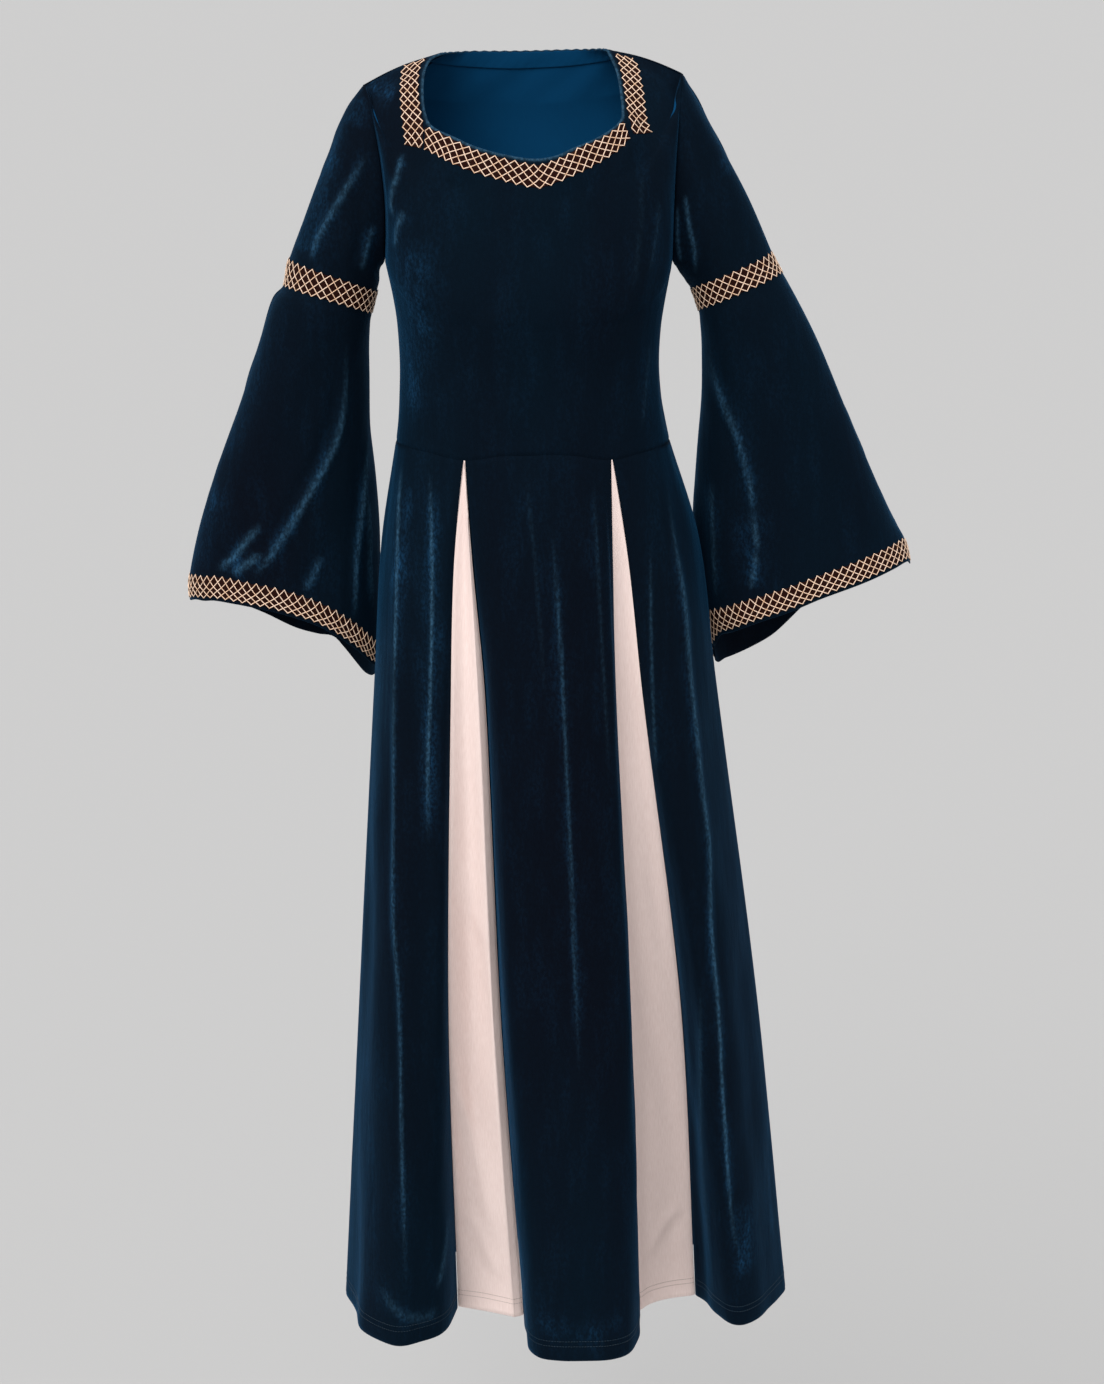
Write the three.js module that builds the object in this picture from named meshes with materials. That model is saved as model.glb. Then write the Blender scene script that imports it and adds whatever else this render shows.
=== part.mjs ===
// Medieval gown, filled out as on its wearer but empty inside.
// It is cut from stretch velvet, with two pale godets in the skirt front and a woven lattice trim.
// Millimetres. X runs to the right as seen from the front, -Y is the front, +Z is up.
// The origin is midway between the shoulder tips, level with the neck end of the shoulder seams.
import * as THREE from "three";

// Driving dimensions.
const VELVET_WALL = 2;
const TRIM_WALL = 1.2;
const FACING_WALL = 1;
const SEAM_GAP = 0.3;
const SEAM_Y = 5; // the plane of the side and shoulder seams
const HEM_Z = -1500;

const WAIST_LEFT_X = -145;
const WAIST_RIGHT_X = 163.8;
const WAIST_Z = -424;
const WAIST_DIP = 8; // how far the waist seam dips at the top of each godet
const WAIST_DIP_XS = [-66.5, 98];
const WAIST_DIP_SPREAD = 34;

const GIRTH_ROUNDNESS = 0.75; // a half ring is sin^0.75 deep, fuller than an ellipse
const EDGE_FADE = 3; // how quickly the shape of a bodice edge fades towards the middle
const NECK_PULL = 6; // how quickly the bodice takes up the depth of its neckline
const NECK_HOOK = 13.5; // how far the left neck point lies in from the line of the front neckline
const NECK_HOOK_SPREAD = 0.03;

const TRIM_RISE = 2 * SEAM_GAP + TRIM_WALL; // from the velvet to the face of the trim
const CUFF_TRIM_INSET = 3;
const FACING_DEPTH = 19;
const FACING_INSET_COLUMNS = 2; // how far the facing ends from each neck point, in bodice columns

const FRONT = -1;
const BACK = 1;
const LEFT = -1;
const RIGHT = 1;

// The bodice side seams, up from the waist.
const SIDE_SEAMS = [
  { z: -424, left: -145, right: 163.8 },
  { z: -402, left: -142, right: 159 },
  { z: -375, left: -140, right: 154 },
  { z: -335, left: -139, right: 151 },
  { z: -290, left: -142, right: 153 },
  { z: -260, left: -147, right: 157.5 },
  { z: -226, left: -155, right: 164.7 },
];

// The depth of the bodice at its middle, from waist to neck.
const BODICE_DEPTHS = [
  { height: 0, front: 110, back: 75 },
  { height: 0.25, front: 113, back: 78 },
  { height: 0.5, front: 125, back: 92 },
  { height: 0.75, front: 113, back: 98 },
  { height: 1, front: 103, back: 80 },
];

// The necklines, from the left neck point to the right one.
const FRONT_NECK = [
  { x: -91.5, y: 5, z: 1 },
  { x: -99.8, y: -6, z: -3 },
  { x: -106, y: -16, z: -11.2 },
  { x: -108.7, y: -30, z: -21.3 },
  { x: -109.4, y: -42, z: -34.6 },
  { x: -108.5, y: -54, z: -48.9 },
  { x: -106.1, y: -62, z: -61.2 },
  { x: -101.6, y: -70, z: -71.3 },
  { x: -92, y: -78, z: -78 },
  { x: -77, y: -85, z: -84 },
  { x: -50, y: -95, z: -95 },
  { x: -18, y: -101, z: -103 },
  { x: 12, y: -103, z: -107 },
  { x: 35, y: -102, z: -104 },
  { x: 54, y: -98, z: -96 },
  { x: 77, y: -90, z: -87 },
  { x: 97, y: -80, z: -76 },
  { x: 106.5, y: -72, z: -66 },
  { x: 107.6, y: -62, z: -56 },
  { x: 106.2, y: -46, z: -40.5 },
  { x: 103.5, y: -28, z: -23 },
  { x: 100, y: -16, z: -12 },
  { x: 96, y: -6, z: -4 },
  { x: 91.5, y: 5, z: 5 },
];
const BACK_NECK = [
  { x: -91.5, y: 5, z: 1 },
  { x: -86, y: 34, z: 1 },
  { x: -64, y: 63, z: 1 },
  { x: -5, y: 80, z: 0.5 },
  { x: 60, y: 64, z: 3 },
  { x: 85, y: 36, z: 5 },
  { x: 91.5, y: 5, z: 5 },
];

// How a bodice edge divides, going up: side seam, armhole, shoulder seam.
const SIDE_SHARE = 0.42;
const ARMHOLE_SHARE = 0.42;
const SHOULDER_BULGE = 4;
const ARMHOLE_LEAN = 0.45; // how far the wall leans out at the top of an armhole

// Sleeve rings from armhole to hem: the outer and inner ends as seen from the front,
// the middle and half depth in Y, how far at most the front is lifted and the back dropped,
// and how far the ring's middle bows in towards the body.
const LEFT_SLEEVE = [
  { outerX: -175, outerZ: -32, innerX: -155, innerZ: -226, y: 5, depth: 43, lift: 0, drop: 0, bow: 10 },
  { outerX: -199, outerZ: -64, innerX: -160, innerZ: -232, y: 8, depth: 47, lift: 0, drop: 0, bow: 4 },
  { outerX: -221, outerZ: -118, innerX: -161.5, innerZ: -240, y: 12, depth: 50, lift: 2, drop: 0, bow: 0 },
  { outerX: -242, outerZ: -171, innerX: -162, innerZ: -249, y: 16, depth: 51, lift: 3, drop: 0, bow: 0 },
  { outerX: -263, outerZ: -223, innerX: -165, innerZ: -259, y: 20, depth: 50, lift: 4, drop: 2, bow: 0 },
  { outerX: -270, outerZ: -253, innerX: -171.5, innerZ: -284, y: 22, depth: 50, lift: 4, drop: 2, bow: 0 },
  { outerX: -284, outerZ: -271, innerX: -173, innerZ: -297, y: 24, depth: 54, lift: 5, drop: 3, bow: 0 },
  { outerX: -301, outerZ: -319, innerX: -176, innerZ: -339, y: 30, depth: 58, lift: 8, drop: 4, bow: 0 },
  { outerX: -324, outerZ: -387, innerX: -176, innerZ: -409, y: 38, depth: 63, lift: 14, drop: 6, bow: 0 },
  { outerX: -351, outerZ: -457, innerX: -171, innerZ: -480, y: 46, depth: 68, lift: 22, drop: 8, bow: 0 },
  { outerX: -376, outerZ: -530, innerX: -168, innerZ: -575, y: 52, depth: 73, lift: 32, drop: 13, bow: 0 },
  { outerX: -391, outerZ: -592, innerX: -169.5, innerZ: -673, y: 58, depth: 76, lift: 40, drop: 21, bow: 0 },
  { outerX: -392, outerZ: -621.5, innerX: -173, innerZ: -702, y: 60, depth: 78, lift: 41, drop: 26, bow: 0 },
];
const RIGHT_SLEEVE = [
  { outerX: 174, outerZ: -20.5, innerX: 164.7, innerZ: -226, y: 5, depth: 43, lift: 0, drop: 0, bow: 3 },
  { outerX: 197, outerZ: -58, innerX: 170, innerZ: -232, y: 8, depth: 47, lift: 0, drop: 0, bow: 1 },
  { outerX: 223, outerZ: -107, innerX: 175, innerZ: -240, y: 12, depth: 50, lift: 2, drop: 0, bow: 0 },
  { outerX: 249, outerZ: -156.5, innerX: 180.5, innerZ: -248, y: 16, depth: 51, lift: 3, drop: 0, bow: 0 },
  { outerX: 276.5, outerZ: -216, innerX: 187, innerZ: -257, y: 20, depth: 50, lift: 4, drop: 2, bow: 0 },
  { outerX: 289, outerZ: -239, innerX: 196, innerZ: -282, y: 22, depth: 50, lift: 4, drop: 2, bow: 0 },
  { outerX: 306, outerZ: -269, innerX: 197, innerZ: -295, y: 24, depth: 54, lift: 5, drop: 3, bow: 0 },
  { outerX: 330, outerZ: -316, innerX: 200, innerZ: -330, y: 30, depth: 58, lift: 6, drop: 5, bow: 0 },
  { outerX: 361, outerZ: -385, innerX: 200.5, innerZ: -391, y: 40, depth: 63, lift: 8, drop: 9, bow: 0 },
  { outerX: 394, outerZ: -456, innerX: 195.5, innerZ: -473, y: 50, depth: 68, lift: 10, drop: 15, bow: 0 },
  { outerX: 425, outerZ: -522, innerX: 196, innerZ: -557, y: 58, depth: 72, lift: 12, drop: 23, bow: 0 },
  { outerX: 441, outerZ: -551, innerX: 210, innerZ: -643, y: 63, depth: 76, lift: 15, drop: 33, bow: 0 },
  { outerX: 449, outerZ: -580, innerX: 221, innerZ: -679, y: 65, depth: 78, lift: 22, drop: 39, bow: 0 },
];
// The share of its lift or drop that a sleeve ring has along the way from its outer end to its inner one.
const LEFT_LIFT = [
  { way: 0, share: 0 }, { way: 0.043, share: 0.23 }, { way: 0.1, share: 0.38 },
  { way: 0.16, share: 0.56 }, { way: 0.26, share: 0.73 }, { way: 0.36, share: 0.86 },
  { way: 0.5, share: 0.99 }, { way: 0.68, share: 1 }, { way: 0.78, share: 0.87 },
  { way: 0.84, share: 0.73 }, { way: 0.91, share: 0.5 }, { way: 1, share: 0 },
];
const RIGHT_LIFT = [
  { way: 0, share: 0 }, { way: 0.025, share: 0.43 }, { way: 0.1, share: 0.6 },
  { way: 0.25, share: 0.76 }, { way: 0.41, share: 0.94 }, { way: 0.5, share: 1 },
  { way: 0.65, share: 0.96 }, { way: 0.8, share: 0.96 }, { way: 0.93, share: 0.79 },
  { way: 0.976, share: 0.66 }, { way: 1, share: 0 },
];
const LEFT_DROP = [
  { way: 0, share: 0 }, { way: 0.2, share: 0.05 }, { way: 0.35, share: 0.19 },
  { way: 0.52, share: 0.4 }, { way: 0.65, share: 0.28 }, { way: 0.74, share: 0.08 },
  { way: 0.8, share: 0.38 }, { way: 0.87, share: 0.8 }, { way: 0.92, share: 1 },
  { way: 0.97, share: 0.77 }, { way: 1, share: 0 },
];
const RIGHT_DROP = [
  { way: 0, share: 0 }, { way: 0.25, share: 0.06 }, { way: 0.4, share: 0.2 },
  { way: 0.5, share: 0.42 }, { way: 0.6, share: 0.75 }, { way: 0.67, share: 0.93 },
  { way: 0.75, share: 0.98 }, { way: 0.85, share: 0.94 }, { way: 0.93, share: 0.82 },
  { way: 0.985, share: 0.65 }, { way: 1, share: 0 },
];
const BAND_TOP_RING = 4;
const BAND_FOOT_RING = 5;
const SLEEVE_SEAM_RING = 4.5; // under the middle of the band
const CUFF_TOP_RING = 11;
const HEM_RING = 12;

// The skirt hangs in folds. Each row is one fold line, round from the left side seam:
// where it leaves the waist, and where it passes the thigh, the knee and the hem.
// The folds next to a godet have a hip spread of their own.
// A seam row is a sharp corner that ends one panel and starts the next.
const FOLD_LEVELS = [0, 0.11, 0.256, 0.628, 1];
const HIP_SPREAD = 0.64; // how much of the way from waist to thigh a fold has gone at the hip
const FRONT_FOLDS = [
  { waistX: -145, thighX: -174.5, thighY: 10, kneeX: -200, kneeY: 20, hemX: -225, hemY: 40 },
  { waistX: -142.5, thighX: -169, thighY: -22, kneeX: -191, kneeY: -20, hemX: -209, hemY: -10 },
  { waistX: -138, thighX: -160, thighY: -50, kneeX: -176, kneeY: -58, hemX: -198, hemY: -60 },
  { waistX: -128, thighX: -146, thighY: -74, kneeX: -149, kneeY: -90, hemX: -158, hemY: -97 },
  { waistX: -106, thighX: -118, thighY: -88, kneeX: -121, kneeY: -90, hemX: -126, hemY: -88 },
  { waistX: -84, thighX: -94, thighY: -95, kneeX: -98, kneeY: -84, hemX: -98, hemY: -62 },
  { seam: true, hip: 0.7, waistX: -69.5, thighX: -82.4, thighY: -88, kneeX: -89.3, kneeY: -58, hemX: -84, hemY: 2 },
  { waistX: -68, thighX: -67, thighY: -82, kneeX: -62, kneeY: -40, hemX: -57, hemY: -6 },
  { hip: 0.42, waistX: -66.3, thighX: -51.2, thighY: -80, kneeX: -36, kneeY: -42, hemX: -22, hemY: -6 },
  { seam: true, hip: 0.38, waistX: -64.5, thighX: -43.7, thighY: -84, kneeX: -28.2, kneeY: -56, hemX: -3.5, hemY: -20 },
  { hip: 0.45, waistX: -58, thighX: -37, thighY: -104, kneeX: -22, kneeY: -100, hemX: 2, hemY: -92 },
  { waistX: -46, thighX: -22, thighY: -117, kneeX: -8, kneeY: -122, hemX: 14, hemY: -126 },
  { waistX: -20, thighX: 8, thighY: -124, kneeX: 24, kneeY: -130, hemX: 40, hemY: -135 },
  { waistX: 26, thighX: 38, thighY: -127, kneeX: 58, kneeY: -133, hemX: 72, hemY: -136 },
  { waistX: 56, thighX: 72, thighY: -123, kneeX: 90, kneeY: -130, hemX: 104, hemY: -130 },
  { waistX: 80, thighX: 96, thighY: -112, kneeX: 117, kneeY: -115, hemX: 126, hemY: -112 },
  { hip: 0.5, waistX: 90, thighX: 102, thighY: -100, kneeX: 124, kneeY: -92, hemX: 136, hemY: -72 },
  { seam: true, hip: 0.42, waistX: 96.5, thighX: 103.8, thighY: -86, kneeX: 124, kneeY: -56, hemX: 139, hemY: -8 },
  { hip: 0.42, waistX: 98, thighX: 110, thighY: -78, kneeX: 138, kneeY: -36, hemX: 152, hemY: 8 },
  { hip: 0.48, waistX: 99.6, thighX: 121, thighY: -74, kneeX: 160, kneeY: -24, hemX: 178, hemY: 24 },
  { seam: true, hip: 0.52, waistX: 101.3, thighX: 133, thighY: -78, kneeX: 184, kneeY: -18, hemX: 208, hemY: 33 },
  { waistX: 114, thighX: 143, thighY: -86, kneeX: 193, kneeY: -44, hemX: 220, hemY: 16 },
  { waistX: 128, thighX: 158, thighY: -84, kneeX: 206, kneeY: -66, hemX: 230, hemY: -16 },
  { waistX: 146, thighX: 178, thighY: -72, kneeX: 223, kneeY: -68, hemX: 248, hemY: -42 },
  { waistX: 157, thighX: 196, thighY: -50, kneeX: 240, kneeY: -52, hemX: 268, hemY: -42 },
  { waistX: 161.5, thighX: 210, thighY: -22, kneeX: 258, kneeY: -20, hemX: 292, hemY: -12 },
];
const BACK_FOLDS = [
  { waistX: 163.8, thighX: 220.5, thighY: 14, kneeX: 277, kneeY: 32, hemX: 322, hemY: 54 },
  { waistX: 161, thighX: 211, thighY: 50, kneeX: 262, kneeY: 84, hemX: 300, hemY: 108 },
  { waistX: 150, thighX: 190, thighY: 78, kneeX: 224, kneeY: 102, hemX: 246, hemY: 112 },
  { waistX: 130, thighX: 162, thighY: 104, kneeX: 190, kneeY: 150, hemX: 206, hemY: 180 },
  { waistX: 103, thighX: 124, thighY: 104, kneeX: 140, kneeY: 124, hemX: 150, hemY: 130 },
  { waistX: 70, thighX: 84, thighY: 118, kneeX: 94, kneeY: 164, hemX: 100, hemY: 196 },
  { waistX: 38, thighX: 40, thighY: 112, kneeX: 42, kneeY: 136, hemX: 44, hemY: 144 },
  { waistX: 4, thighX: -6, thighY: 118, kneeX: -10, kneeY: 166, hemX: -12, hemY: 194 },
  { waistX: -30, thighX: -48, thighY: 108, kneeX: -58, kneeY: 128, hemX: -64, hemY: 134 },
  { waistX: -64, thighX: -88, thighY: 106, kneeX: -106, kneeY: 150, hemX: -118, hemY: 178 },
  { waistX: -98, thighX: -124, thighY: 82, kneeX: -146, kneeY: 102, hemX: -160, hemY: 110 },
  { waistX: -124, thighX: -152, thighY: 62, kneeX: -180, kneeY: 84, hemX: -204, hemY: 104 },
  { waistX: -140, thighX: -168, thighY: 36, kneeX: -194, kneeY: 54, hemX: -219, hemY: 72 },
];
// Each panel of the skirt runs from one fold row to another, front rows first.
const SKIRT_PANELS = [
  { name: "skirt_front_side_left", from: 0, to: 6 },
  { name: "godet_left", from: 6, to: 9 },
  { name: "skirt_front_center", from: 9, to: 17 },
  { name: "godet_right", from: 17, to: 20 },
  { name: "skirt_front_side_right", from: 20, to: 26 },
  { name: "skirt_back", from: 26, to: 39 },
];

// The neck trim, as seen from the front: the edges of the side strips, down from the shoulder,
// and those of the front band, from left to right.
const LEFT_STRIP = [
  { outerX: -130.5, outerZ: -12.5, innerX: -104.5, innerZ: -4 },
  { outerX: -133.5, outerZ: -18.4, innerX: -110.5, innerZ: -9.8 },
  { outerX: -134, outerZ: -27, innerX: -112.8, innerZ: -20.4 },
  { outerX: -133.6, outerZ: -39, innerX: -113, innerZ: -36.8 },
  { outerX: -132.8, outerZ: -52, innerX: -111.3, innerZ: -51 },
  { outerX: -131.5, outerZ: -65.5, innerX: -108.5, innerZ: -64.5 },
  { outerX: -129.6, outerZ: -80, innerX: -106.8, innerZ: -78 },
  { outerX: -128, outerZ: -93.3, innerX: -108, innerZ: -97 },
];
const RIGHT_STRIP = [
  { outerX: 119, outerZ: -5, innerX: 98.5, innerZ: 0.5 },
  { outerX: 122.9, outerZ: -9.8, innerX: 101.4, innerZ: -4.4 },
  { outerX: 126, outerZ: -16, innerX: 103.6, innerZ: -11 },
  { outerX: 127.6, outerZ: -23.5, innerX: 105.6, innerZ: -18.5 },
  { outerX: 130.2, outerZ: -38.8, innerX: 108.2, innerZ: -34 },
  { outerX: 131.5, outerZ: -50.6, innerX: 109.6, innerZ: -44 },
  { outerX: 132.6, outerZ: -60.4, innerX: 111, innerZ: -54.5 },
  { outerX: 135, outerZ: -71, innerX: 113.4, innerZ: -66 },
  { outerX: 139, outerZ: -80.8, innerX: 117.5, innerZ: -81.9 },
];
const NECK_BAND = [
  { topX: -105, topZ: -74, footX: -106, footZ: -98 },
  { topX: -92, topZ: -78, footX: -95, footZ: -103 },
  { topX: -64, topZ: -91, footX: -76, footZ: -112 },
  { topX: -44, topZ: -99, footX: -52, footZ: -121 },
  { topX: -22, topZ: -105, footX: -26, footZ: -128 },
  { topX: 2, topZ: -110, footX: -2, footZ: -134 },
  { topX: 16, topZ: -112, footX: 18, footZ: -137 },
  { topX: 31, topZ: -108, footX: 37, footZ: -131 },
  { topX: 46, topZ: -102, footX: 56, footZ: -123 },
  { topX: 62, topZ: -93, footX: 72, footZ: -116 },
  { topX: 79, topZ: -87, footX: 89, footZ: -107 },
  { topX: 96, topZ: -77.5, footX: 105, footZ: -96.5 },
  { topX: 107.2, topZ: -67.6, footX: 114.2, footZ: -86.3 },
];

// How finely each piece is divided.
const BODICE_COLUMNS = 24;
const SIDE_ROWS = 4;
const ARMHOLE_ROWS = 12; // half of SLEEVE_COLUMNS, so that the armhole edges match
const SHOULDER_ROWS = 4;
const SLEEVE_COLUMNS = 24;
const UPPER_SLEEVE_ROWS = 6;
const FLARE_ROWS = 7;
const FRONT_FOLD_STEPS = 2;
const BACK_FOLD_STEPS = 3;
const SKIRT_ROWS = 16;
const BAND_COLUMNS = 32;
const STRIP_ROWS = 20;
const TRIM_COLUMNS = 4;
const FACING_ROWS = 3;

function lerp(a, b, share) {
  return a + (b - a) * share;
}

// A smooth curve through values given at uneven stations.
function track(stations, values, at) {
  const last = stations.length - 1;
  let i = 0;
  while (i < last - 1 && at > stations[i + 1]) {
    i += 1;
  }
  const slope = (k) => {
    const before = Math.max(k - 1, 0);
    const after = Math.min(k + 1, last);
    return (values[after] - values[before]) / (stations[after] - stations[before]);
  };
  const span = stations[i + 1] - stations[i];
  const t = (at - stations[i]) / span;
  const t2 = t * t;
  const t3 = t2 * t;
  const start = (2 * t3 - 3 * t2 + 1) * values[i] + (t3 - 2 * t2 + t) * span * slope(i);
  const end = (3 * t2 - 2 * t3) * values[i + 1] + (t3 - t2) * span * slope(i + 1);
  return start + end;
}

function column(table, name) {
  return table.map((row) => row[name]);
}

// The waist seam, which the bodice and the skirt share.
const WAIST_MIDDLE_X = (WAIST_LEFT_X + WAIST_RIGHT_X) / 2;
const WAIST_HALF_X = (WAIST_RIGHT_X - WAIST_LEFT_X) / 2;

function roundness(u) {
  return Math.pow(Math.max(Math.sin(Math.PI * u), 0), GIRTH_ROUNDNESS);
}

function depthAt(face, v) {
  const name = face === FRONT ? "front" : "back";
  return face * track(column(BODICE_DEPTHS, "height"), column(BODICE_DEPTHS, name), v);
}

function waistPoint(face, u) {
  const x = WAIST_MIDDLE_X - WAIST_HALF_X * Math.cos(Math.PI * u);
  const full = roundness(u);
  let z = WAIST_Z;
  if (face === FRONT) {
    for (const dipX of WAIST_DIP_XS) {
      const away = (x - dipX) / WAIST_DIP_SPREAD;
      z -= WAIST_DIP * Math.exp(-away * away);
    }
    z += dipAtSide(x);
  }
  return new THREE.Vector3(x, SEAM_Y * (1 - full) + depthAt(face, 0) * full, z);
}

// Takes the dips away towards the side seams, where the front has to meet the level back.
function dipAtSide(x) {
  let dip = 0;
  for (const dipX of WAIST_DIP_XS) {
    const sideX = x < WAIST_MIDDLE_X ? WAIST_LEFT_X : WAIST_RIGHT_X;
    const away = (sideX - dipX) / WAIST_DIP_SPREAD;
    dip += WAIST_DIP * Math.exp(-away * away);
  }
  return dip * Math.abs((x - WAIST_MIDDLE_X) / WAIST_HALF_X);
}

function waistShare(x) {
  const cosine = (WAIST_MIDDLE_X - x) / WAIST_HALF_X;
  return Math.acos(Math.min(Math.max(cosine, -1), 1)) / Math.PI;
}

// A point of a sleeve: ring counts along its table, angle 0 is the top and outer side,
// a quarter turn is the front, half a turn is the inner side.
function sleeveTable(side) {
  return side === LEFT ? LEFT_SLEEVE : RIGHT_SLEEVE;
}

function hemShape(side, sine) {
  if (sine > 0) {
    return side === LEFT ? LEFT_LIFT : RIGHT_LIFT;
  }
  return side === LEFT ? LEFT_DROP : RIGHT_DROP;
}

function sleevePoint(side, ring, angle) {
  const table = sleeveTable(side);
  const stations = table.map((row, i) => i);
  const at = (name) => track(stations, column(table, name), ring);
  const way = (1 - Math.cos(angle)) / 2;
  const sine = Math.sin(angle);
  const shape = hemShape(side, sine);
  const most = sine > 0 ? at("lift") : -at("drop");
  const rise = most * track(column(shape, "way"), column(shape, "share"), way);
  return new THREE.Vector3(
    lerp(at("outerX"), at("innerX"), way) - side * at("bow") * sine * sine,
    at("y") - at("depth") * sine,
    lerp(at("outerZ"), at("innerZ"), way) + rise,
  );
}

// The direction of the wall at an armhole, which the bodice and the sleeve share.
function armholeOutward(side, angle) {
  const lean = ARMHOLE_LEAN * (1 + Math.cos(angle)) / 2;
  return new THREE.Vector3(side * lean, -Math.sin(angle), Math.cos(angle)).normalize();
}

function neckPoint(face, u) {
  const table = face === FRONT ? FRONT_NECK : BACK_NECK;
  const lengths = [0];
  for (let i = 1; i < table.length; i += 1) {
    const step = Math.hypot(
      table[i].x - table[i - 1].x,
      table[i].y - table[i - 1].y,
      table[i].z - table[i - 1].z,
    );
    lengths.push(lengths[i - 1] + step);
  }
  const at = u * lengths[lengths.length - 1];
  const along = (name) => track(lengths, column(table, name), at);
  return new THREE.Vector3(along("x"), along("y"), along("z"));
}

// The edge of a bodice panel, up the side seam, round the armhole and along the shoulder.
function bodiceEdge(face, side, v) {
  if (v <= SIDE_SHARE) {
    const zs = column(SIDE_SEAMS, "z");
    const z = lerp(zs[0], zs[zs.length - 1], v / SIDE_SHARE);
    const x = track(zs, column(SIDE_SEAMS, side === LEFT ? "left" : "right"), z);
    return new THREE.Vector3(x, SEAM_Y, z);
  }
  if (v <= SIDE_SHARE + ARMHOLE_SHARE) {
    const angle = Math.PI * (1 - (v - SIDE_SHARE) / ARMHOLE_SHARE);
    return sleevePoint(side, 0, -face * angle);
  }
  const share = (v - SIDE_SHARE - ARMHOLE_SHARE) / (1 - SIDE_SHARE - ARMHOLE_SHARE);
  const tip = sleevePoint(side, 0, 0);
  const neck = neckPoint(FRONT, side === LEFT ? 0 : 1);
  const point = tip.lerp(neck, share);
  point.z += SHOULDER_BULGE * Math.sin(Math.PI * share);
  return point;
}

function edgeOutward(face, side, v) {
  if (v < SIDE_SHARE) {
    return new THREE.Vector3(side, 0, 0);
  }
  if (v <= SIDE_SHARE + ARMHOLE_SHARE) {
    const angle = Math.PI * (1 - (v - SIDE_SHARE) / ARMHOLE_SHARE);
    return armholeOutward(side, -face * angle);
  }
  const tip = sleevePoint(side, 0, 0);
  const neck = neckPoint(FRONT, side === LEFT ? 0 : 1);
  const run = neck.sub(tip);
  return new THREE.Vector3(side * Math.abs(run.z), 0, Math.abs(run.x)).normalize();
}

// A point between the waist and the neck, before the side edges pull it out.
function basePoint(face, u, v) {
  const point = waistPoint(face, u).lerp(neckPoint(face, u), v);
  if (face === FRONT) {
    point.x += NECK_HOOK * Math.exp(-u / NECK_HOOK_SPREAD) * (Math.pow(v, NECK_PULL) - v);
  }
  return point;
}

// A point of the bodice: u runs from the left edge to the right one, v from waist to neck.
// Seen from the front it fills in between its four edges, and its depth follows the girth.
function bodicePoint(face, u, v) {
  const left = bodiceEdge(face, LEFT, v);
  const right = bodiceEdge(face, RIGHT, v);
  const point = basePoint(face, u, v);
  point.addScaledVector(left.clone().sub(basePoint(face, 0, v)), Math.pow(1 - u, EDGE_FADE));
  point.addScaledVector(right.clone().sub(basePoint(face, 1, v)), Math.pow(u, EDGE_FADE));
  const full = roundness(u);
  const neckBody = SEAM_Y * (1 - full) + depthAt(face, 1) * full;
  const body = lerp(left.y, right.y, u) * (1 - full) + depthAt(face, v) * full;
  return point.setY(body + (neckPoint(face, u).y - neckBody) * Math.pow(v, NECK_PULL));
}

// The point of a panel's faceted wall that lies at x, z as seen from the front.
function pointOnPanel(grid, directions, x, z) {
  let best = { inside: -Infinity };
  const tryFace = (corners) => {
    const [a, b, c] = corners.map(([r, k]) => grid[r][k]);
    const area = (b.x - a.x) * (c.z - a.z) - (b.z - a.z) * (c.x - a.x);
    const shareB = ((x - a.x) * (c.z - a.z) - (z - a.z) * (c.x - a.x)) / area;
    const shareC = ((b.x - a.x) * (z - a.z) - (b.z - a.z) * (x - a.x)) / area;
    const shares = [1 - shareB - shareC, shareB, shareC];
    const inside = Math.min(...shares);
    if (inside > best.inside) {
      best = { inside, shares, corners };
    }
  };
  for (let r = 0; r < grid.length - 1; r += 1) {
    for (let c = 0; c < grid[0].length - 1; c += 1) {
      tryFace([[r, c], [r, c + 1], [r + 1, c + 1]]);
      tryFace([[r, c], [r + 1, c + 1], [r + 1, c]]);
    }
  }
  const point = new THREE.Vector3();
  const outward = new THREE.Vector3();
  best.corners.forEach(([r, c], i) => {
    point.addScaledVector(grid[r][c], best.shares[i]);
    outward.addScaledVector(directions[r][c], best.shares[i]);
  });
  return { point, outward: outward.normalize() };
}

// The outward direction at each point of a grid of rows and columns.
function outwards(grid, closed) {
  const columns = grid[0].length;
  return grid.map((row, r) =>
    row.map((point, c) => {
      const below = grid[Math.max(r - 1, 0)][c];
      const above = grid[Math.min(r + 1, grid.length - 1)][c];
      const before = closed ? row[(c + columns - 1) % columns] : row[Math.max(c - 1, 0)];
      const after = closed ? row[(c + 1) % columns] : row[Math.min(c + 1, columns - 1)];
      return after.clone().sub(before).cross(above.clone().sub(below)).normalize();
    }),
  );
}

function flip(directions) {
  for (const row of directions) {
    row.forEach((direction) => direction.negate());
  }
}

// Moves the end points of a grid a little way in, to leave room for a seam.
function moveTowards(point, other, distance) {
  point.add(other.clone().sub(point).setLength(distance));
}

function drawInSides(grid) {
  for (const row of grid) {
    const last = row.length - 1;
    moveTowards(row[0], row[1], SEAM_GAP / 2);
    moveTowards(row[last], row[last - 1], SEAM_GAP / 2);
  }
}

function drawInFirstRow(grid, distance) {
  grid[0].forEach((point, c) => moveTowards(point, grid[1][c], distance));
}

function drawInLastRow(grid, distance) {
  const last = grid.length - 1;
  grid[last].forEach((point, c) => moveTowards(point, grid[last - 1][c], distance));
}

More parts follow.
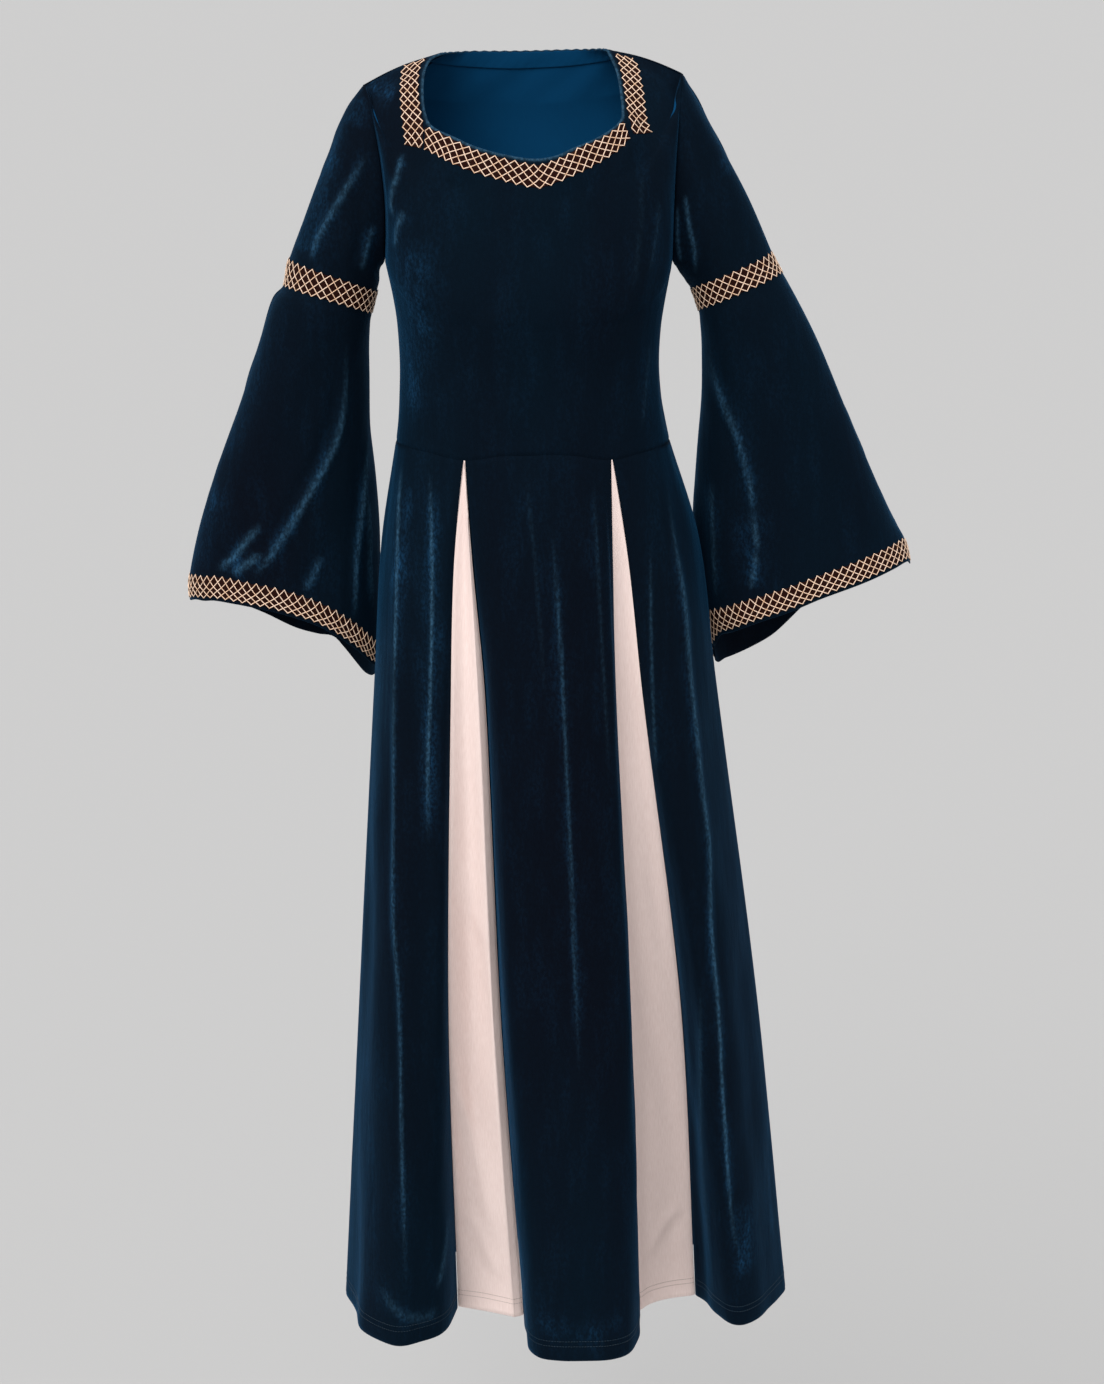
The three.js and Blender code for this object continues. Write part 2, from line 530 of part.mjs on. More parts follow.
// A closed wall between a grid of outer points and the same grid moved in.
function wallGeometry(grid, directions, outerMove, thickness, closed) {
  const rows = grid.length;
  const columns = grid[0].length;
  const positions = [];
  for (const move of [outerMove, outerMove - thickness]) {
    for (let r = 0; r < rows; r += 1) {
      for (let c = 0; c < columns; c += 1) {
        const p = grid[r][c].clone().addScaledVector(directions[r][c], move);
        positions.push(p.x, p.y, p.z);
      }
    }
  }
  const at = (layer, r, c) => (layer * rows + r) * columns + (c % columns);
  const faces = [];
  const quad = (a, b, c, d) => faces.push(a, b, c, a, c, d);
  const lastColumn = closed ? columns : columns - 1;
  for (let r = 0; r < rows - 1; r += 1) {
    for (let c = 0; c < lastColumn; c += 1) {
      quad(at(0, r, c), at(0, r, c + 1), at(0, r + 1, c + 1), at(0, r + 1, c));
      quad(at(1, r, c), at(1, r + 1, c), at(1, r + 1, c + 1), at(1, r, c + 1));
    }
  }
  for (let c = 0; c < lastColumn; c += 1) {
    quad(at(1, 0, c), at(1, 0, c + 1), at(0, 0, c + 1), at(0, 0, c));
    quad(at(1, rows - 1, c), at(0, rows - 1, c), at(0, rows - 1, c + 1), at(1, rows - 1, c + 1));
  }
  if (!closed) {
    for (let r = 0; r < rows - 1; r += 1) {
      quad(at(0, r, 0), at(0, r + 1, 0), at(1, r + 1, 0), at(1, r, 0));
      const end = columns - 1;
      quad(at(0, r, end), at(1, r, end), at(1, r + 1, end), at(0, r + 1, end));
    }
  }
  const geometry = new THREE.BufferGeometry();
  geometry.setAttribute("position", new THREE.Float32BufferAttribute(positions, 3));
  geometry.setIndex(volume(positions, faces) < 0 ? faces.reverse() : faces);
  geometry.computeVertexNormals();
  return geometry;
}

function volume(positions, faces) {
  const corner = (i) => new THREE.Vector3().fromArray(positions, faces[i] * 3);
  let sum = 0;
  for (let i = 0; i < faces.length; i += 3) {
    sum += corner(i).dot(corner(i + 1).cross(corner(i + 2)));
  }
  return sum / 6;
}

function velvet() {
  return new THREE.MeshStandardMaterial({ color: 0x06203a, roughness: 0.75, metalness: 0 });
}

function cotton() {
  return new THREE.MeshStandardMaterial({ color: 0xd8bcb2, roughness: 0.9, metalness: 0 });
}

function wovenTrim() {
  return new THREE.MeshStandardMaterial({ color: 0xc39a72, roughness: 0.6, metalness: 0 });
}

const gown = new THREE.Group();

function add(name, geometry, material) {
  const mesh = new THREE.Mesh(geometry, material);
  mesh.name = name;
  gown.add(mesh);
}

// Bodice, front and back.
function bodiceHeights() {
  const heights = [];
  const stretches = [
    [0, SIDE_SHARE, SIDE_ROWS],
    [SIDE_SHARE, SIDE_SHARE + ARMHOLE_SHARE, ARMHOLE_ROWS],
    [SIDE_SHARE + ARMHOLE_SHARE, 1, SHOULDER_ROWS],
  ];
  for (const [from, to, count] of stretches) {
    for (let i = 0; i < count; i += 1) {
      heights.push(lerp(from, to, i / count));
    }
  }
  heights.push(1);
  return heights;
}

const bodiceWalls = {};
for (const [name, face] of [["bodice_front", FRONT], ["bodice_back", BACK]]) {
  const heights = bodiceHeights();
  const grid = heights.map((v) =>
    Array.from({ length: BODICE_COLUMNS + 1 }, (_, c) => bodicePoint(face, c / BODICE_COLUMNS, v)),
  );
  const directions = outwards(grid, false);
  if (face === BACK) {
    flip(directions);
  }
  heights.forEach((v, r) => {
    directions[r][0].copy(edgeOutward(face, LEFT, v));
    directions[r][BODICE_COLUMNS].copy(edgeOutward(face, RIGHT, v));
  });
  for (let c = 1; c < BODICE_COLUMNS; c += 1) {
    directions[0][c].setZ(0).normalize();
  }
  drawInSides(grid);
  drawInFirstRow(grid, SEAM_GAP / 2);
  bodiceWalls[name] = { grid, directions };
  add(name, wallGeometry(grid, directions, 0, VELVET_WALL, false), velvet());
}

// The facing inside the back neck, a strip of the back panel moved in.
{
  const measured = 0.1; // the share of the panel's height over which its real height is measured
  const grid = between(FACING_DEPTH, 0, FACING_ROWS).map((depth) => {
    const row = [];
    for (let c = FACING_INSET_COLUMNS; c <= BODICE_COLUMNS - FACING_INSET_COLUMNS; c += 1) {
      const u = c / BODICE_COLUMNS;
      const length = bodicePoint(BACK, u, 1).distanceTo(bodicePoint(BACK, u, 1 - measured));
      row.push(bodicePoint(BACK, u, 1 - (measured * depth) / length));
    }
    return row;
  });
  const directions = outwards(grid, false);
  flip(directions);
  const inside = -VELVET_WALL - 2 * SEAM_GAP;
  add("back_neck_facing", wallGeometry(grid, directions, inside, FACING_WALL, false), velvet());
}

// Sleeves: an upper part, a flare, a band over their seam and a band at the cuff.
function sleeveGrid(side, rings, columns) {
  return rings.map((ring) =>
    Array.from({ length: columns }, (_, c) => sleevePoint(side, ring, (2 * Math.PI * c) / columns)),
  );
}

function between(from, to, count) {
  return Array.from({ length: count + 1 }, (_, i) => lerp(from, to, i / count));
}

function sleeveOutwards(grid) {
  const directions = outwards(grid, true);
  const middle = grid[0].reduce((sum, p) => sum.add(p), new THREE.Vector3()).divideScalar(grid[0].length);
  const facesIn = directions[0][0].dot(grid[0][0].clone().sub(middle)) < 0;
  if (facesIn) {
    flip(directions);
  }
  return directions;
}

function addSleeveWall(name, side, rings, move, thickness, material) {
  const grid = sleeveGrid(side, rings, SLEEVE_COLUMNS);
  const directions = sleeveOutwards(grid);
  if (rings[0] === 0) {
    directions[0].forEach((direction, c) => {
      direction.copy(armholeOutward(side, (2 * Math.PI * c) / SLEEVE_COLUMNS));
    });
    drawInFirstRow(grid, SEAM_GAP);
    drawInLastRow(grid, SEAM_GAP / 2);
  }
  if (rings[0] === SLEEVE_SEAM_RING) {
    drawInFirstRow(grid, SEAM_GAP / 2);
  }
  add(name, wallGeometry(grid, directions, move, thickness, true), material);
}

for (const [word, side] of [["left", LEFT], ["right", RIGHT]]) {
  const top = sleevePoint(side, CUFF_TOP_RING, Math.PI / 2);
  const hemDepth = sleevePoint(side, HEM_RING, Math.PI / 2).distanceTo(top);
  const cuffFootRing = HEM_RING - CUFF_TRIM_INSET / hemDepth;
  const upperRings = [...between(0, BAND_TOP_RING, UPPER_SLEEVE_ROWS), SLEEVE_SEAM_RING];
  const flareRings = [
    SLEEVE_SEAM_RING,
    ...between(BAND_FOOT_RING, CUFF_TOP_RING, FLARE_ROWS),
    cuffFootRing,
    HEM_RING,
  ];
  addSleeveWall(`sleeve_upper_${word}`, side, upperRings, 0, VELVET_WALL, velvet());
  addSleeveWall(`sleeve_flare_${word}`, side, flareRings, 0, VELVET_WALL, velvet());
  const armRings = [BAND_TOP_RING, SLEEVE_SEAM_RING, BAND_FOOT_RING];
  addSleeveWall(`arm_trim_${word}`, side, armRings, TRIM_RISE, TRIM_WALL, wovenTrim());
  addSleeveWall(`cuff_trim_${word}`, side, [CUFF_TOP_RING, cuffFootRing], TRIM_RISE, TRIM_WALL, wovenTrim());
}

// Skirt: one ring of folds, cut into its panels at the seams.
const FOLDS = [...FRONT_FOLDS, ...BACK_FOLDS];

function foldSteps(index) {
  return index < FRONT_FOLDS.length ? FRONT_FOLD_STEPS : BACK_FOLD_STEPS;
}

// The column of the skirt's ring at which a fold row lies.
function foldColumn(index) {
  let count = 0;
  for (let before = 0; before < index; before += 1) {
    count += foldSteps(before);
  }
  return count;
}

function foldPoint(index, share) {
  const fold = FOLDS[index % FOLDS.length];
  const face = index < FRONT_FOLDS.length ? FRONT : BACK;
  const waist = waistPoint(face, waistShare(fold.waistX));
  const spread = fold.hip ?? HIP_SPREAD;
  const hipX = lerp(waist.x, fold.thighX, spread);
  const hipY = lerp(waist.y, fold.thighY, spread);
  const xs = [waist.x, hipX, fold.thighX, fold.kneeX, fold.hemX];
  const ys = [waist.y, hipY, fold.thighY, fold.kneeY, fold.hemY];
  return new THREE.Vector3(
    track(FOLD_LEVELS, xs, share),
    track(FOLD_LEVELS, ys, share),
    lerp(waist.z, HEM_Z, share),
  );
}

// A smooth curve from fold to fold, with a sharp corner at each seam of a godet.
function skirtPoint(index, step, share) {
  const count = FOLDS.length;
  const here = foldPoint(index, share);
  const next = foldPoint((index + 1) % count, share);
  const before = FOLDS[index].seam ? here : foldPoint((index + count - 1) % count, share);
  const after = FOLDS[(index + 1) % count].seam ? next : foldPoint((index + 2) % count, share);
  const t = step / foldSteps(index);
  const t2 = t * t;
  const t3 = t2 * t;
  const startWeight = FOLDS[index].seam ? 1 : 0.5;
  const endWeight = FOLDS[(index + 1) % count].seam ? 1 : 0.5;
  const startSlope = next.clone().sub(before).multiplyScalar(startWeight);
  const endSlope = after.clone().sub(here).multiplyScalar(endWeight);
  return new THREE.Vector3()
    .addScaledVector(here, 2 * t3 - 3 * t2 + 1)
    .addScaledVector(startSlope, t3 - 2 * t2 + t)
    .addScaledVector(next, 3 * t2 - 2 * t3)
    .addScaledVector(endSlope, t3 - t2);
}

{
  const ring = between(0, 1, SKIRT_ROWS).map((share) => {
    const row = [];
    for (let index = 0; index < FOLDS.length; index += 1) {
      for (let step = 0; step < foldSteps(index); step += 1) {
        row.push(skirtPoint(index, step, share));
      }
    }
    return row;
  });
  const directions = outwards(ring, true);
  flip(directions);
  for (const direction of directions[0]) {
    direction.setZ(0).normalize();
  }
  const columns = ring[0].length;
  for (const panel of SKIRT_PANELS) {
    const indices = [];
    for (let c = foldColumn(panel.from); c <= foldColumn(panel.to); c += 1) {
      indices.push(c % columns);
    }
    const grid = ring.map((row) => indices.map((c) => row[c].clone()));
    const panelOut = directions.map((row) => indices.map((c) => row[c]));
    drawInSides(grid);
    drawInFirstRow(grid, SEAM_GAP / 2);
    const material = panel.name.startsWith("godet") ? cotton() : velvet();
    add(panel.name, wallGeometry(grid, panelOut, 0, VELVET_WALL, false), material);
  }
}

// Neck trim: two side strips and a front band, laid on the front bodice.
function trimOnFront(name, cells) {
  const { grid, directions } = bodiceWalls.bodice_front;
  const seats = cells.map((row) => row.map(({ x, z }) => pointOnPanel(grid, directions, x, z)));
  const points = seats.map((row) => row.map((seat) => seat.point));
  const outward = seats.map((row) => row.map((seat) => seat.outward));
  add(name, wallGeometry(points, outward, TRIM_RISE, TRIM_WALL, false), wovenTrim());
}

// The cells of a trim between its two edges, which a table gives in x and z.
function trimCells(table, steps, near, far) {
  const stations = table.map((row, i) => i);
  const along = (name, at) => track(stations, column(table, name), at);
  return between(0, table.length - 1, steps).map((at) =>
    between(0, 1, TRIM_COLUMNS).map((across) => ({
      x: lerp(along(`${near}X`, at), along(`${far}X`, at), across),
      z: lerp(along(`${near}Z`, at), along(`${far}Z`, at), across),
    })),
  );
}

trimOnFront("neck_trim_left", trimCells(LEFT_STRIP, STRIP_ROWS, "outer", "inner"));
trimOnFront("neck_trim_right", trimCells(RIGHT_STRIP, STRIP_ROWS, "outer", "inner"));
trimOnFront("neck_trim_front", trimCells(NECK_BAND, BAND_COLUMNS, "top", "foot"));

export default gown;
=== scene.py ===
# %% [markdown]
# # A velvet gown with a lattice trim
# The gown is filled out as on a wearer, but it is empty: neck, cuffs and hem are open.
# The frame holds every cut piece as a plain wall. Here each piece becomes a fine, thin
# shell on the same form, with its creases, seams, rolled edges, trim and stitches.
# All sizes are in millimetres, as a dressmaker would give them, until a mesh is made.

import math

import bpy
import numpy as np
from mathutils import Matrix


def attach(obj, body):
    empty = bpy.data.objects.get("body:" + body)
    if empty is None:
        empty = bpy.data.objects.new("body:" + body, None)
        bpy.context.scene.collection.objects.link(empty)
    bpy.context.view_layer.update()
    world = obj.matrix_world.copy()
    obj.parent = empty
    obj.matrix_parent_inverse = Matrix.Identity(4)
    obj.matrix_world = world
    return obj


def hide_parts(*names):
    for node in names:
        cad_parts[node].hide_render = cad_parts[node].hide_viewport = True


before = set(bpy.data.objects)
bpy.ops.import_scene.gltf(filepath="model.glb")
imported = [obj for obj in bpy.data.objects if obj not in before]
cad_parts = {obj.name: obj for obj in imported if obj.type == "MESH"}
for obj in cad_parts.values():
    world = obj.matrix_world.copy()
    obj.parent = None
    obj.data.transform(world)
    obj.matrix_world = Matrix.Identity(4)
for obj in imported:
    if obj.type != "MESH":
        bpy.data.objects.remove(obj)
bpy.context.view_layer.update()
MM = 0.001
FRONT, BACK = -1, 1
LEFT, RIGHT = -1, 1
WORDS = {LEFT: "left", RIGHT: "right"}
print("pieces in the frame:", len(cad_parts))

# %% [markdown]
# ## Camera
# A garment is photographed from a few metres away, so that near and far folds keep their
# proportions. The camera stands a little above the neckline and looks down.

# %% Camera
CAMERA_PLACE = (31, -3100, 85)
CAMERA_PITCH = 14.55
CAMERA_LENS = 72

camera_data = bpy.data.cameras.new("camera")
camera_data.lens = CAMERA_LENS
camera = bpy.data.objects.new("camera", camera_data)
camera.location = [value * MM for value in CAMERA_PLACE]
camera.rotation_euler = (math.radians(90 - CAMERA_PITCH), 0, 0)
bpy.context.scene.collection.objects.link(camera)
bpy.context.scene.camera = camera
print("camera at", CAMERA_PLACE, "mm, pitched down", CAMERA_PITCH, "degrees")

# %% [markdown]
# ## Stage and light
# Velvet is nearly black where it is seen straight on and lights up where it turns away.
# Broad suns with a wide angle act as softboxes that reach everywhere alike, and a pale
# world fills the shadows. A wide floor far below the hem is the whole backdrop.

# %% Floor
FLOOR_Z = -2500
FLOOR_HALF = 400000
FLOOR_GREY = (0.468, 0.464, 0.458)


def plain_material(name, color, roughness):
    material = bpy.data.materials.new(name)
    material.use_nodes = True
    shader = material.node_tree.nodes["Principled BSDF"]
    shader.inputs["Base Color"].default_value = (*color, 1)
    shader.inputs["Roughness"].default_value = roughness
    shader.inputs["Specular IOR Level"].default_value = 0
    return material


corners = [(-1, -1), (1, -1), (1, 1), (-1, 1)]
floor_mesh = bpy.data.meshes.new("floor")
floor_points = [(x * FLOOR_HALF * MM, y * FLOOR_HALF * MM, FLOOR_Z * MM) for x, y in corners]
floor_mesh.from_pydata(floor_points, [], [(0, 1, 2, 3)])
floor_mesh.materials.append(plain_material("studio_floor", FLOOR_GREY, 0.9))
floor = bpy.data.objects.new("floor", floor_mesh)
bpy.context.scene.collection.objects.link(floor)
print("floor", -FLOOR_Z, "mm below the shoulders")

# %% Light
WORLD_GREY = (0.50, 0.505, 0.52)
SUNS = [
    # name, azimuth from the front, elevation, strength, width of the source in degrees
    ("key", -27, 42, 2.9, 46),
    ("fill", 48, 34, 0.5, 70),
    ("top_back", 170, 58, 0.45, 60),
]


def sun(name, azimuth, elevation, strength, width):
    data = bpy.data.lights.new(name, "SUN")
    data.energy = strength
    data.angle = math.radians(width)
    lamp = bpy.data.objects.new(name, data)
    lamp.rotation_euler = (math.radians(90 - elevation), 0, math.radians(azimuth))
    bpy.context.scene.collection.objects.link(lamp)


for row in SUNS:
    sun(*row)

world = bpy.data.worlds.new("studio")
world.use_nodes = True
world.node_tree.nodes["Background"].inputs["Color"].default_value = (*WORLD_GREY, 1)
world.node_tree.nodes["Background"].inputs["Strength"].default_value = 1
bpy.context.scene.world = world
bpy.context.scene.view_settings.view_transform = "Standard"
print("soft suns:", len(SUNS))

# %% [markdown]
# ## The cut, as curves
# A pattern cutter works from a few measures: the side seams, the depth of the body, the
# necklines, rings round the sleeves and the fold lines of the skirt. A smooth curve runs
# through each column of these tables, so that a panel can be made as fine as it needs.

# %% Curves through a table
def table(names, rows):
    """Turns rows of measures into named columns."""
    return dict(zip(names.split(), np.array(rows, float).T))


def mix(a, b, share):
    return a + (b - a) * share


def ease(value):
    value = np.clip(value, 0, 1)
    return value * value * (3 - 2 * value)


def hermite(a, slope_a, b, slope_b, t):
    t2, t3 = t * t, t * t * t
    start = (2 * t3 - 3 * t2 + 1) * a + (t3 - 2 * t2 + t) * slope_a
    return start + (3 * t2 - 2 * t3) * b + (t3 - t2) * slope_b


def track(stations, values, at):
    """A smooth curve through values that are given at uneven stations."""
    at = np.asarray(at, float)
    last = len(stations) - 1
    i = np.clip(np.searchsorted(stations, at, side="left") - 1, 0, last - 1)
    before = np.maximum(np.arange(last + 1) - 1, 0)
    after = np.minimum(np.arange(last + 1) + 1, last)
    slopes = (values[after] - values[before]) / (stations[after] - stations[before])
    span = stations[i + 1] - stations[i]
    t = (at - stations[i]) / span
    return hermite(values[i], slopes[i] * span, values[i + 1], slopes[i + 1] * span, t)


def points_of(x, y, z):
    return np.stack(np.broadcast_arrays(x, y, z), -1).astype(float)


# %% [markdown]
# ## The bodice surface
# The front and the back are each spread between a waist seam, two sides with their
# armholes and a neckline. Seen from the front the panel fills in between those edges,
# and its depth follows a full, rounded girth.

# %% Measures of the bodice
SEAM_Y = 5
WAIST_LEFT, WAIST_RIGHT, WAIST_Z = -145, 163.8, -424
WAIST_MIDDLE = (WAIST_LEFT + WAIST_RIGHT) / 2
WAIST_HALF = (WAIST_RIGHT - WAIST_LEFT) / 2
WAIST_DIP, WAIST_DIP_SPREAD = 8, 34
WAIST_DIP_XS = (-66.5, 98)
GIRTH_ROUNDNESS, SHOULDER_ROUNDNESS = 0.75, 1.3
EDGE_FADE, NECK_PULL = 3, 6
SIDE_SHARE, ARMHOLE_SHARE = 0.42, 0.42
SHOULDER_BULGE = 4
NECK_HOOK, NECK_HOOK_SPREAD = 13.5, 0.03

SIDE_SEAMS = table("z left right", [
    (-424, -145, 163.8), (-402, -142, 159), (-375, -140, 154), (-335, -139, 151),
    (-290, -142, 153), (-260, -147, 157.5), (-226, -155, 164.7),
])
BODICE_DEPTHS = table("height front back", [
    (0, 110, 75), (0.25, 113, 78), (0.5, 125, 92), (0.75, 113, 98), (1, 103, 80),
])
FRONT_NECK = table("x y z", [
    (-91.5, 5, 1), (-99.8, -6, -3), (-106, -16, -11.2), (-108.7, -30, -21.3), (-109.4, -42, -34.6),
    (-108.5, -54, -48.9), (-106.1, -62, -61.2), (-101.6, -70, -71.3), (-92, -78, -78), (-77, -85, -84),
    (-50, -95, -95), (-18, -101, -103), (12, -103, -107), (35, -102, -104), (54, -98, -96),
    (77, -90, -87), (97, -80, -76), (106.5, -72, -66), (107.6, -62, -56), (106.2, -46, -40.5),
    (103.5, -28, -23), (100, -16, -12), (96, -6, -4), (91.5, 5, 5),
])
BACK_NECK = table("x y z", [
    (-91.5, 5, 1), (-86, 34, 1), (-64, 63, 1), (-5, 80, 0.5), (60, 64, 3),
    (85, 36, 5), (91.5, 5, 5),
])

# %% [markdown]
# ## The sleeve surface
# A trumpet sleeve is a tube cut wide at its foot. Its rings could be plain circles, but on
# a filled-out gown they are flat ovals that lean with the arm. So each ring has an outer
# and an inner end, a depth, and the height by which its front lifts and its back drops.
# The first ring is also the armhole of the bodice, which is why the sleeves come first.

# %% Measures of the sleeves
SLEEVE_NAMES = "ring outer_x outer_z inner_x inner_z y depth lift drop bow"
SLEEVES = {
    LEFT: table(SLEEVE_NAMES, [
        (0, -175, -32, -155, -226, 5, 43, 0, 0, 10),
        (1, -199, -64, -160, -232, 8, 47, 0, 0, 4),
        (2, -221, -118, -161.5, -240, 12, 50, 2, 0, 0),
        (3, -242, -171, -162, -249, 16, 51, 3, 0, 0),
        (4, -263, -223, -165, -259, 20, 50, 4, 2, 0),
        (5, -270, -253, -171.5, -284, 22, 50, 4, 2, 0),
        (6, -284, -271, -173, -297, 24, 54, 5, 3, 0),
        (7, -301, -319, -176, -339, 30, 58, 8, 4, 0),
        (8, -324, -387, -176, -409, 38, 63, 14, 6, 0),
        (9, -351, -457, -171, -480, 46, 68, 22, 8, 0),
        (10, -376, -530, -168, -575, 52, 73, 32, 13, 0),
        (11, -391, -592, -169.5, -673, 58, 76, 40, 21, 0),
        (12, -392, -621.5, -173, -702, 60, 78, 41, 26, 0),
    ]),
    RIGHT: table(SLEEVE_NAMES, [
        (0, 174, -20.5, 164.7, -226, 5, 43, 0, 0, 3),
        (1, 197, -58, 170, -232, 8, 47, 0, 0, 1),
        (2, 223, -107, 175, -240, 12, 50, 2, 0, 0),
        (3, 249, -156.5, 180.5, -248, 16, 51, 3, 0, 0),
        (4, 276.5, -216, 187, -257, 20, 50, 4, 2, 0),
        (5, 289, -239, 196, -282, 22, 50, 4, 2, 0),
        (6, 306, -269, 197, -295, 24, 54, 5, 3, 0),
        (7, 330, -316, 200, -330, 30, 58, 6, 5, 0),
        (8, 361, -385, 200.5, -391, 40, 63, 8, 9, 0),
        (9, 394, -456, 195.5, -473, 50, 68, 10, 15, 0),
        (10, 425, -522, 196, -557, 58, 72, 12, 23, 0),
        (11, 441, -551, 210, -643, 63, 76, 15, 33, 0),
        (12, 449, -580, 221, -679, 65, 78, 22, 39, 0),
    ]),
}
BAND_TOP_RING, SLEEVE_SEAM_RING, BAND_FOOT_RING = 4, 4.5, 5
CUFF_TOP_RING, HEM_RING = 11, 12
# The share of its lift or drop that a ring has along the way from its outer end to its inner one.
LIFTS = {
    LEFT: table("way share", [
        (0, 0), (0.043, 0.23), (0.1, 0.38), (0.16, 0.56), (0.26, 0.73), (0.36, 0.86), (0.5, 0.99),
        (0.68, 1), (0.78, 0.87), (0.84, 0.73), (0.91, 0.5), (1, 0),
    ]),
    RIGHT: table("way share", [
        (0, 0), (0.025, 0.43), (0.1, 0.6), (0.25, 0.76), (0.41, 0.94), (0.5, 1), (0.65, 0.96),
        (0.8, 0.96), (0.93, 0.79), (0.976, 0.66), (1, 0),
    ]),
}
DROPS = {
    LEFT: table("way share", [
        (0, 0), (0.2, 0.05), (0.35, 0.19), (0.52, 0.4), (0.65, 0.28), (0.74, 0.08), (0.8, 0.38),
        (0.87, 0.8), (0.92, 1), (0.97, 0.77), (1, 0),
    ]),
    RIGHT: table("way share", [
        (0, 0), (0.25, 0.06), (0.4, 0.2), (0.5, 0.42), (0.6, 0.75), (0.67, 0.93), (0.75, 0.98),
        (0.85, 0.94), (0.93, 0.82), (0.985, 0.65), (1, 0),
    ]),
}


def sleeve_point(side, ring, angle):
    """A point of a sleeve: angle 0 is its outer side, a quarter turn is its front."""
    rows = SLEEVES[side]
    at = {name: track(rows["ring"], rows[name], ring) for name in rows}
    way = (1 - np.cos(angle)) / 2
    lift = at["lift"] * track(LIFTS[side]["way"], LIFTS[side]["share"], way)
    drop = at["drop"] * track(DROPS[side]["way"], DROPS[side]["share"], way)
    return points_of(
        mix(at["outer_x"], at["inner_x"], way) - side * at["bow"] * np.sin(angle) ** 2,
        at["y"] - at["depth"] * np.sin(angle),
        mix(at["outer_z"], at["inner_z"], way) + np.where(np.sin(angle) > 0, lift, -drop),
    )


# %% [markdown]
# ## The bodice between its edges
# A stretch bodice has no darts, and its cloth is pulled smooth between the seams. It could
# be draped by a simulation, but the seams have to meet the sleeves and the skirt exactly.
# So each panel blends its waist curve into its neck curve, and its edges pull it sideways.

# %% The bodice as a surface
def roundness(u, v):
    """A half ring of the body: full at the waist, flatter beside the arms."""
    power = mix(GIRTH_ROUNDNESS, SHOULDER_ROUNDNESS, ease((v - SIDE_SHARE) / ARMHOLE_SHARE))
    return np.maximum(np.sin(np.pi * u), 0) ** power


def depth_at(face, v):
    name = "front" if face == FRONT else "back"
    return face * track(BODICE_DEPTHS["height"], BODICE_DEPTHS[name], v)


def dips(x):
    return sum(WAIST_DIP * np.exp(-(((x - dip) / WAIST_DIP_SPREAD) ** 2)) for dip in WAIST_DIP_XS)


def waist_point(face, u):
    x = WAIST_MIDDLE - WAIST_HALF * np.cos(np.pi * u)
    z = WAIST_Z + 0 * x
    if face == FRONT:
        side_dip = dips(np.where(x < WAIST_MIDDLE, WAIST_LEFT, WAIST_RIGHT))
        z = z - dips(x) + side_dip * np.abs((x - WAIST_MIDDLE) / WAIST_HALF)
    full = roundness(u, 0.0)
    return points_of(x, SEAM_Y * (1 - full) + depth_at(face, 0.0) * full, z)


def neck_point(face, u):
    rows = FRONT_NECK if face == FRONT else BACK_NECK
    corners = np.stack([rows["x"], rows["y"], rows["z"]], -1)
    steps = np.linalg.norm(np.diff(corners, axis=0), axis=1)
    lengths = np.concatenate([[0], np.cumsum(steps)])
    at = np.asarray(u) * lengths[-1]
    return points_of(*(track(lengths, rows[name], at) for name in "xyz"))


def bodice_edge(face, side, v):
    """The edge of a panel, up the side seam, round the armhole and along the shoulder."""
    v = np.asarray(v, float)
    z = mix(SIDE_SEAMS["z"][0], SIDE_SEAMS["z"][-1], np.clip(v / SIDE_SHARE, 0, 1))
    seam = points_of(track(SIDE_SEAMS["z"], SIDE_SEAMS[WORDS[side]], z), SEAM_Y, z)
    armhole_v = np.clip((v - SIDE_SHARE) / ARMHOLE_SHARE, 0, 1)
    armhole = sleeve_point(side, 0.0, -face * np.pi * (1 - armhole_v))
    share = np.clip((v - SIDE_SHARE - ARMHOLE_SHARE) / (1 - SIDE_SHARE - ARMHOLE_SHARE), 0, 1)
    tip = sleeve_point(side, 0.0, 0.0)
    neck = neck_point(FRONT, 0.0 if side == LEFT else 1.0)
    shoulder = mix(tip, neck, share[..., None])
    shoulder[..., 2] += SHOULDER_BULGE * np.sin(np.pi * share)
    low = (v <= SIDE_SHARE)[..., None]
    high = (v > SIDE_SHARE + ARMHOLE_SHARE)[..., None]
    return np.where(low, seam, np.where(high, shoulder, armhole))


def base_point(face, u, v):
    """A point between the waist and the neck, before the side edges pull it out."""
    point = mix(waist_point(face, u), neck_point(face, u), v[..., None])
    if face == FRONT:
        point[..., 0] += NECK_HOOK * np.exp(-u / NECK_HOOK_SPREAD) * (v ** NECK_PULL - v)
    return point


def bodice_point(face, u, v):
    """u runs from the left edge to the right one, v from waist to neck."""
    u, v = np.broadcast_arrays(np.asarray(u, float), np.asarray(v, float))
    left, right = bodice_edge(face, LEFT, v), bodice_edge(face, RIGHT, v)
    point = base_point(face, u, v)
    from_left, from_right = base_point(face, 0 * u, v), base_point(face, 0 * u + 1, v)
    point = point + (left - from_left) * (1 - u[..., None]) ** EDGE_FADE
    point = point + (right - from_right) * u[..., None] ** EDGE_FADE
    full = roundness(u, v)
    body = mix(left[..., 1], right[..., 1], u) * (1 - full) + depth_at(face, v) * full
    neck_body = SEAM_Y * (1 - full) + depth_at(face, 1.0) * full
    point[..., 1] = body + (neck_point(face, u)[..., 1] - neck_body) * v ** NECK_PULL
    return point


# %% [markdown]
# ## The skirt surface
# The skirt hangs in folds from the waist seam to a level hem. Each row below is one fold
# line, by where it passes the waist, the thigh, the knee and the hem. A seam row is a
# sharp corner where a pale godet is let in.

